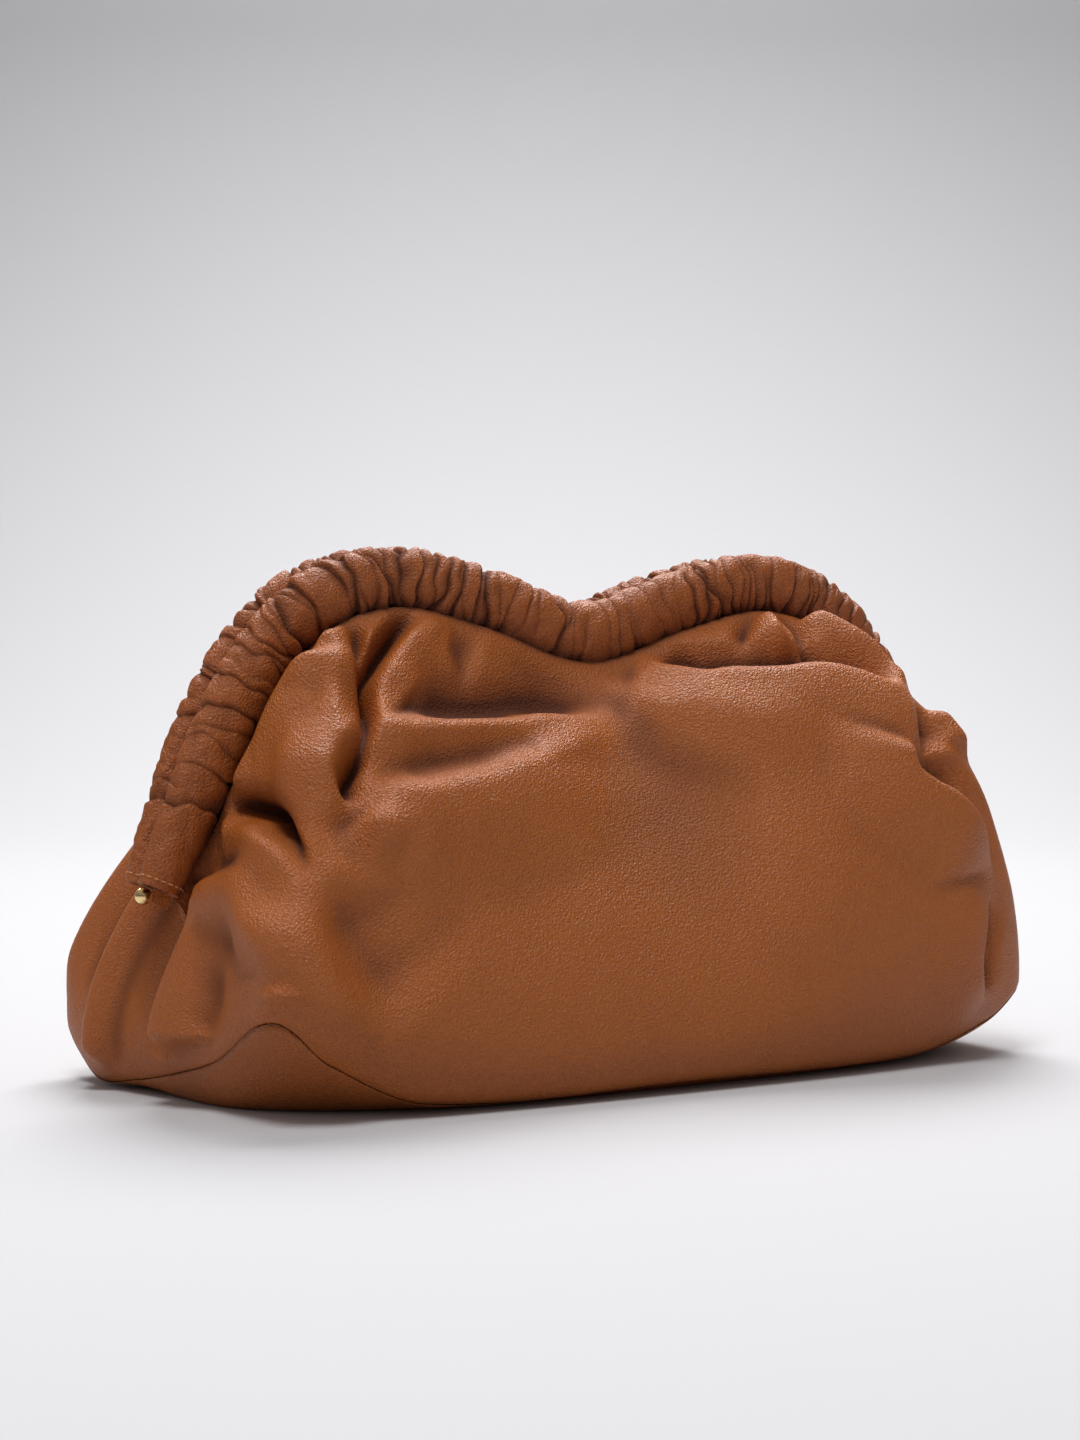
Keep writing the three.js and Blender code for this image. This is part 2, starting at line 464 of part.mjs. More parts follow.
// Grid of points to unit normals that face out
function gridNormals(grid) {
  const rows = grid.length;
  const columns = grid[0].length;
  return grid.map((row, j) => row.map((_, i) => {
    const east = row[Math.min(columns - 1, i + 1)].clone().sub(row[Math.max(0, i - 1)]);
    const north = grid[Math.min(rows - 1, j + 1)][i].clone().sub(grid[Math.max(0, j - 1)][i]);
    const edge = i === 0 || i === columns - 1;
    if (edge) return new THREE.Vector3(north.z, 0, -north.x).multiplyScalar(i === 0 ? -1 : 1).normalize();
    return east.cross(north).normalize();
  }));
}

// Facing grids joined into one closed sheet; turn swaps the facing for a mirrored wall
function sheet(outer, inner, turn) {
  const rows = outer.length;
  const columns = outer[0].length;
  const vertices = [...outer.flat(), ...inner.flat()];
  const out = (i, j) => j * columns + i;
  const back = (i, j) => rows * columns + j * columns + i;
  const triangles = [];
  const quad = (a, b, c, d) => triangles.push(a, b, c, a, c, d);
  for (let j = 0; j < rows - 1; j += 1) {
    for (let i = 0; i < columns - 1; i += 1) {
      quad(out(i, j), out(i + 1, j), out(i + 1, j + 1), out(i, j + 1));
      quad(back(i, j), back(i, j + 1), back(i + 1, j + 1), back(i + 1, j));
    }
  }
  const last = rows - 1;
  const end = columns - 1;
  for (let i = 0; i < end; i += 1) {
    quad(out(i + 1, 0), out(i, 0), back(i, 0), back(i + 1, 0));
    quad(out(i, last), out(i + 1, last), back(i + 1, last), back(i, last));
  }
  for (let j = 0; j < last; j += 1) {
    quad(out(0, j), out(0, j + 1), back(0, j + 1), back(0, j));
    quad(out(end, j + 1), out(end, j), back(end, j), back(end, j + 1));
  }
  return solid(vertices, triangles, turn);
}

function solid(vertices, triangles, turn) {
  const geometry = new THREE.BufferGeometry();
  const numbers = vertices.flatMap((p) => [p.x, p.y, p.z]);
  geometry.setAttribute('position', new THREE.Float32BufferAttribute(numbers, 3));
  const order = turn ? triangles.slice().reverse() : triangles;
  geometry.setIndex(order);
  geometry.computeVertexNormals();
  return geometry;
}

// Each shift drawn a third of the way toward the mean of its four neighbours, edges kept
function soften(shifts) {
  const rows = shifts.length;
  const columns = shifts[0].length;
  return shifts.map((row, j) => row.map((shift, i) => {
    if (j === 0 || j === rows - 1) return shift.clone();
    const mean = shifts[j - 1][i].clone().add(shifts[j + 1][i]);
    if (i === 0 || i === columns - 1) return shift.clone().lerp(mean.multiplyScalar(0.5), 0.35);
    mean.add(row[i - 1]).add(row[i + 1]).multiplyScalar(0.25);
    return shift.clone().lerp(mean, 0.35);
  }));
}

// One leather wall with its folds
function wallSolid(wall, columns, rows) {
  const lines = foldLines(wall);
  const plain = [];
  for (let j = 0; j < rows; j += 1) {
    const v = j / (rows - 1);
    plain.push(Array.from({ length: columns }, (_, i) => plainWall(wall, (2 * i) / (columns - 1) - 1, v)));
  }
  const facing = gridNormals(plain);
  const lows = Array.from({ length: columns }, (_, i) => seamAt(wall, (2 * i) / (columns - 1) - 1).point);
  // the belly may sag a little lower than its seam where it stands clear of it
  const limit = (p, i) => {
    const beyond = Math.hypot(p.x - lows[i].x, p.y - lows[i].y);
    p.y = Math.min(p.y, -GAP / 2);
    p.z = Math.max(p.z, Math.max(lows[i].z - Math.max(beyond - 2 * WALL, 0) * 0.4, GAP));
    return p;
  };
  const shifts = soften(plain.map((row, j) => row.map((p, i) => {
    const v = j / (rows - 1);
    const hold = ease(v / 0.05) * ease((1 - v) / 0.17);
    return foldShift(p, facing[j][i], lines, wall.side).multiplyScalar(hold);
  })));
  const outer = plain.map((row, j) => row.map((p, i) => limit(p.clone().add(shifts[j][i]), i)));
  const normals = gridNormals(outer);
  const inner = outer.map((row, j) => row.map((p, i) => {
    const q = p.clone();
    if (j === 0) q.addScaledVector(seamAt(wall, (2 * i) / (columns - 1) - 1).out, -WALL);
    else q.addScaledVector(normals[j][i], -WALL);
    if (i === 0 || i === columns - 1) q.y = -GAP / 2;
    return limit(q, i);
  }));
  if (wall.side < 0) [outer, inner].forEach((grid) => grid.flat().forEach((p) => p.setY(-p.y)));
  return sheet(outer, inner, wall.side < 0);
}

// Base panel: a shallow tray whose rim follows both wall seams
function baseSolid() {
  const rim = [];
  const add = (wall, u) => {
    const { point, out } = seamAt(wall, u);
    const end = Math.abs(u) === 1;
    const before = seamAt(wall, Math.max(-1, u - 0.01)).point;
    const after = seamAt(wall, Math.min(1, u + 0.01)).point;
    const slope = (after.z - before.z) / Math.hypot(after.x - before.x, after.y - before.y);
    rim.push({
      point: new THREE.Vector3(
        point.x,
        end ? 0 : wall.side * point.y,
        point.z - GAP * Math.hypot(1, slope) * 1.15,
      ),
      out: new THREE.Vector3(out.x, wall.side * out.y, 0),
    });
  };
  for (let i = 0; i < COLUMNS_FRONT; i += 1) add(FRONT, (2 * i) / (COLUMNS_FRONT - 1) - 1);
  for (let i = COLUMNS_BACK - 2; i > 0; i -= 1) add(BACK, (2 * i) / (COLUMNS_BACK - 1) - 1);
  const count = rim.length;
  const flat = rim.map(({ point }) => {
    const x = Math.abs(point.x) / FLAT_HALF_LENGTH;
    const y = Math.abs(point.y) / (point.y > 0 ? FLAT_BACK_DEPTH : FLAT_HALF_DEPTH);
    return 1 - (x ** 2.4 + y ** 2.4) ** (-1 / 2.4);
  });
  const outer = [0, 0.5, 1].map((step) => rim.map(({ point }, i) => {
    const w = step * flat[i];
    return new THREE.Vector3(point.x * (1 - w), point.y * (1 - w), point.z * (1 - step) ** 2);
  }));
  const inner = outer.map((ring, k) => ring.map((p, i) => {
    if (k === 0) return p.clone().addScaledVector(rim[i].out, -WALL);
    const round = ring[(i + 1) % count].clone().sub(ring[(i + count - 1) % count]);
    const toward = outer[Math.min(2, k + 1)][i].clone().sub(outer[k - 1][i]);
    const up = k === 2 ? new THREE.Vector3(0, 0, 1) : round.cross(toward).normalize();
    return p.clone().addScaledVector(up, WALL);
  }));
  const middles = [new THREE.Vector3(0, 0, 0), new THREE.Vector3(0, 0, WALL)];
  const vertices = [...outer.flat(), ...inner.flat(), ...middles];
  const low = (i, k) => k * count + (i % count);
  const high = (i, k) => (k + 3) * count + (i % count);
  const triangles = [];
  const quad = (a, b, c, d) => triangles.push(a, b, c, a, c, d);
  for (let i = 0; i < count; i += 1) {
    for (let k = 0; k < 2; k += 1) {
      quad(low(i, k), low(i, k + 1), low(i + 1, k + 1), low(i + 1, k));
      quad(high(i, k), high(i + 1, k), high(i + 1, k + 1), high(i, k + 1));
    }
    triangles.push(low(i, 2), 6 * count, low(i + 1, 2));
    triangles.push(high(i, 2), high(i + 1, 2), 6 * count + 1);
    quad(low(i, 0), low(i + 1, 0), high(i + 1, 0), high(i, 0));
  }
  return solid(vertices, triangles, false);
}

// Tube along the frame: rings of the outer section, and of the tunnel inside when there is one
function tube(side, sections, outerSides, outerSize, innerSides, innerSize) {
  const sizes = [[outerSides, outerSize, false]];
  if (innerSize) sizes.push([innerSides, innerSize, true]);
  const vertices = [];
  const triangles = [];
  const starts = [];
  for (const [sides, size, reversed] of sizes) {
    const start = vertices.length;
    starts.push(start);
    for (let k = 0; k < sections; k += 1) {
      const u = (2 * k) / (sections - 1) - 1;
      const { point, inward } = frameAt(u);
      const centre = GAP / 2 + sleeveSize(u).depth;
      const { height, depth } = size(u, k);
      for (let i = 0; i < sides; i += 1) {
        const angle = (2 * Math.PI * (i + 0.5)) / sides;
        const p = point.clone().addScaledVector(inward, height * Math.cos(angle));
        p.y = side * (centre + depth * Math.sin(angle));
        vertices.push(p);
      }
    }
    for (let k = 0; k < sections - 1; k += 1) {
      for (let i = 0; i < sides; i += 1) {
        const a = start + k * sides + i;
        const b = start + k * sides + ((i + 1) % sides);
        const quad = [a, b, b + sides, a, b + sides, a + sides];
        triangles.push(...(reversed ? quad.reverse() : quad));
      }
    }
  }
  // ends: a flat cap, or a ring between the outer section and the tunnel
  for (const k of [0, sections - 1]) {
    const cap = [];
    const o = starts[0] + k * outerSides;
    if (!innerSize) {
      for (let i = 1; i < outerSides - 1; i += 1) cap.push(o, o + i + 1, o + i);
    } else {
      const n = starts[1] + k * innerSides;
      const ratio = outerSides / innerSides;
      for (let i = 0; i < innerSides; i += 1) {
        const a = n + i;
        const b = n + ((i + 1) % innerSides);
        for (let s = 0; s < ratio; s += 1) {
          const first = o + ((i * ratio + s + Math.floor(ratio / 2)) % outerSides);
          const second = o + ((i * ratio + s + 1 + Math.floor(ratio / 2)) % outerSides);
          cap.push(first, a, second);
        }
        cap.push(a, b, o + (((i + 1) * ratio + Math.floor(ratio / 2)) % outerSides));
      }
    }
    triangles.push(...(k === 0 ? cap : cap.reverse()));
  }
  return solid(vertices, triangles, side < 0);
}

// Gathers of a sleeve: every other section is drawn in, unevenly, and the end hems stay smooth
function ruched(u, k, seed) {
  const size = sleeveSize(u);
  const uneven = 0.65 + 0.35 * Math.sin(k * 2.4 + seed);
  const calm = ease((1 - Math.abs(u)) / 0.12);
  const keep = 1 - SLEEVE_RUCHE * uneven * calm * (k % 2);
  return { height: size.height * keep, depth: size.depth * keep };
}

function sleeveSolid(side, seed) {
  const outer = (u, k) => ruched(u, k, seed);
  const tunnel = (u, k) => {
    const size = ruched(u, k, seed);
    return { height: size.height - SLEEVE_WALL, depth: size.depth - SLEEVE_WALL };
  };
  return tube(side, SLEEVE_SECTIONS, 8, outer, 4, tunnel);
}

// Hidden frame bar, as thick as the narrowest gathers of its sleeve leave room for
function barSolid(side) {
  const section = (u) => {
    const size = sleeveSize(u);
    const room = size.depth * (1 - SLEEVE_RUCHE) - SLEEVE_WALL - 1.4 * GAP;
    return { height: Math.min(BAR_HALF_HEIGHT, size.height - SLEEVE_WALL - 2), depth: room };
  };
  return tube(side, BAR_SECTIONS, 4, section, 0, null);
}

// Directions at a hinge end: along the frame and out, inward in its plane
function endFrame(sign) {
  const { point, inward } = frameAt(sign);
  const out = FRAME_LINE.direction(sign > 0 ? 1 : 0, 0.006).multiplyScalar(sign);
  return { point, inward, out };
}

function knobSolid(sign) {
  const { point, inward, out } = endFrame(sign);
  const profile = [];
  for (let i = 0; i <= KNOB_STEPS; i += 1) {
    const a = (Math.PI * i) / KNOB_STEPS;
    const pole = i === 0 || i === KNOB_STEPS;
    profile.push(new THREE.Vector2(pole ? 0 : KNOB_RADIUS * Math.sin(a), KNOB_RADIUS * Math.cos(a)));
  }
  profile.reverse();
  const geometry = new THREE.LatheGeometry(profile, KNOB_SIDES);
  const centre = point.clone();
  centre.addScaledVector(out, KNOB_RADIUS + 2 * GAP);
  centre.addScaledVector(inward, -KNOB_OUTSET);
  geometry.rotateX(Math.PI / 2);
  geometry.translate(centre.x, 0, centre.z);
  return geometry;
}

// Small leather tab under the end of the front sleeve
function tabSolid(sign) {
  const { point, inward, out } = endFrame(sign);
  const across = inward.clone().multiplyScalar(sign > 0 ? 1 : -1);
  const backward = new THREE.Vector3(0, 1, 0);
  const geometry = new THREE.BoxGeometry(TAB_WIDTH, TAB_THICK, TAB_LENGTH);
  geometry.translate(sign > 0 ? TAB_SHIFT : -TAB_SHIFT, 0, 0);
  const basis = new THREE.Matrix4();
  basis.makeBasis(across, backward, across.clone().cross(backward));
  geometry.applyMatrix4(basis);
  const centre = point.clone().addScaledVector(out, TAB_LENGTH / 2 + 2 * GAP);
  geometry.translate(centre.x, -TAB_ASIDE, centre.z);
  return geometry;
}

const LEATHER = { colour: '#8a4d2b', roughness: 0.52, metalness: 0 };
const RUCHED = { colour: '#84482a', roughness: 0.55, metalness: 0 };
const UNDERSIDE = { colour: '#7a4225', roughness: 0.6, metalness: 0 };
const GOLD = { colour: '#d8b76a', roughness: 0.22, metalness: 1 };
const STEEL = { colour: '#8c8c8a', roughness: 0.4, metalness: 1 };

const group = new THREE.Group();
group.name = 'pouch_clutch';

function addPiece(name, geometry, finish) {
  const material = new THREE.MeshStandardMaterial({
    color: finish.colour,
    roughness: finish.roughness,
    metalness: finish.metalness,
  });
  const mesh = new THREE.Mesh(geometry, material);
  mesh.name = name;
  group.add(mesh);
  return mesh;
}

addPiece('wall_front', wallSolid(FRONT, COLUMNS_FRONT, ROWS_FRONT), LEATHER);
addPiece('wall_back', wallSolid(BACK, COLUMNS_BACK, ROWS_BACK), LEATHER);
addPiece('base_panel', baseSolid(), UNDERSIDE);
addPiece('sleeve_front', sleeveSolid(-1, 0.4), RUCHED);
addPiece('sleeve_back', sleeveSolid(1, 2.1), RUCHED);
addPiece('frame_bar_front', barSolid(-1), STEEL);
addPiece('frame_bar_back', barSolid(1), STEEL);
addPiece('hinge_knob_left', knobSolid(-1), GOLD);
addPiece('hinge_knob_right', knobSolid(1), GOLD);
addPiece('end_tab_left', tabSolid(-1), LEATHER);
addPiece('end_tab_right', tabSolid(1), LEATHER);

// Bring the middle of the footprint box to the origin and the base to z = 0
group.updateMatrixWorld(true);
const box = new THREE.Box3().setFromObject(group);
const shift = new THREE.Vector3(-(box.min.x + box.max.x) / 2, -(box.min.y + box.max.y) / 2, -box.min.z);
for (const mesh of group.children) mesh.geometry.translate(shift.x, shift.y, shift.z);

export default group;
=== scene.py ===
"""Soft leather pouch clutch with a ruched top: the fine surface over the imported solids.

Lengths below are millimetres in the frame of the solids' source and turned into metres last.
A place on a wall is (u, v): u runs -1 left end, 0 middle, 1 right end, and v runs 0 base seam,
1 sleeve. u beyond 1 or -1 goes on round the end onto the back wall.
"""
import math

import bpy
import numpy as np
from mathutils import Matrix, Vector


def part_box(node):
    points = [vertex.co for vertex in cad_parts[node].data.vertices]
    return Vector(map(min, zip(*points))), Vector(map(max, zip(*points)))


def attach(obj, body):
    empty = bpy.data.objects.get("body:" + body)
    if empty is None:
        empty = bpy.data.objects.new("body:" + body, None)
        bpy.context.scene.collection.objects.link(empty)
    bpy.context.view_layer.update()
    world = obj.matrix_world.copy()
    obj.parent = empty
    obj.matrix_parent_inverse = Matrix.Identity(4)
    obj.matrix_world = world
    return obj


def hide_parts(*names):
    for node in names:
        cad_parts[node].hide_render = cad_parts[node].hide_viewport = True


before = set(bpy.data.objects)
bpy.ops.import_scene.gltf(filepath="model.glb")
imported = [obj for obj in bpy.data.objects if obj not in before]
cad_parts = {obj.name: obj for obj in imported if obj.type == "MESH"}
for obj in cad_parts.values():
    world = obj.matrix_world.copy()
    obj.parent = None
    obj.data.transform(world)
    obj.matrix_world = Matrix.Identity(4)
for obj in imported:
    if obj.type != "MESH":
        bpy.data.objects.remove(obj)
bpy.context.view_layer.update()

# Driving sizes, as in the solids
WALL = 1.8
GAP = 0.3
FRAME_HALF_SPAN = 181.5
FRAME = [(0.000, 169), (0.232, 181), (0.459, 189.5), (0.652, 181), (0.788, 157), (0.893, 123), (1.000, 77.5)]
SLEEVE_HALF_HEIGHT = 12.3
SLEEVE_HALF_DEPTH = 7.6
SLEEVE_TAPER = 0.32
BASE_HALF_LENGTH = 174
BASE_HALF_DEPTH = 76
BACK_HALF_LENGTH = 184
BACK_HALF_DEPTH = 80
CORNER = 15
LEAVE = math.radians(34)
END_FROM = 0.80
KNOB_RADIUS = 3.15
KNOB_OUTSET = 2.1
METRE = 1000
TAPER_FROM, TAPER_OVER, TAPER_CURVE = 0.72, 0.28, 1.5   # where in u a sleeve narrows, and how suddenly
SEAM_END = 0.03         # part of u at each end over which the seam turns to face along x

# Fineness: steps between marks of the frame, round a corner and between places of a fold's path, and the
# shares of the frame's and a seam's length over which their directions are read
FRAME_STEPS, CORNER_STEPS, PATH_STEPS = 40, 13, 6
FRAME_NEAR, SEAM_NEAR = 0.006, 0.02
TINY = 1e-9

# Height of the base seam along each wall: u, rise
SEAM_FRONT = [(-1, 10), (-0.86, 19), (-0.705, 36), (-0.62, 21), (-0.46, 4), (0, 3),
              (0.46, 4), (0.62, 15), (0.705, 26), (0.86, 16), (1, 12)]
SEAM_BACK = [(-1, 10), (-0.9, 5), (-0.8, 3), (-0.705, 18), (-0.62, 12), (-0.46, 4), (0, 3),
             (0.46, 4), (0.62, 12), (0.705, 20), (0.86, 12), (1, 12)]
# Wall profiles: u, belly, up, reach, drop
PROFILE_FRONT = [
    (-1.00, 10, 20, 28, 0.8), (-0.90, 8, 26, 32, 0.4), (-0.80, 10, 32, 46, 0.3), (-0.70, 12, 32, 58, 0.3),
    (-0.55, 26, 20, 68, 0.5), (-0.42, 34, 8, 64, 0.8), (-0.25, 40, 0, 62, 1.0), (0.00, 42, -2, 66, 0.9),
    (0.20, 40, -2, 74, 0.5), (0.40, 34, 2, 78, 0.3), (0.55, 24, 16, 80, 0.1), (0.68, 4, 26, 70, -0.15),
    (0.78, 2, 24, 52, -0.2), (0.88, 2, 22, 34, 0.1), (1.00, 4, 22, 26, 0.6)]
PROFILE_BACK = [
    (-1.00, 10, 20, 28, 0.8), (-0.90, 20, 34, 24, 0.8), (-0.80, 18, 42, 32, 0.9), (-0.70, 10, 46, 40, 0.9),
    (-0.55, 24, 30, 52, 0.8), (-0.30, 36, 6, 66, 0.7), (0.00, 38, 2, 70, 0.7), (0.30, 36, 6, 68, 0.6),
    (0.55, 24, 26, 62, 0.5), (0.70, 14, 36, 52, 0.3), (0.80, 16, 36, 44, 0.3), (0.90, 12, 32, 32, 0.4),
    (1.00, 4, 22, 26, 0.6)]

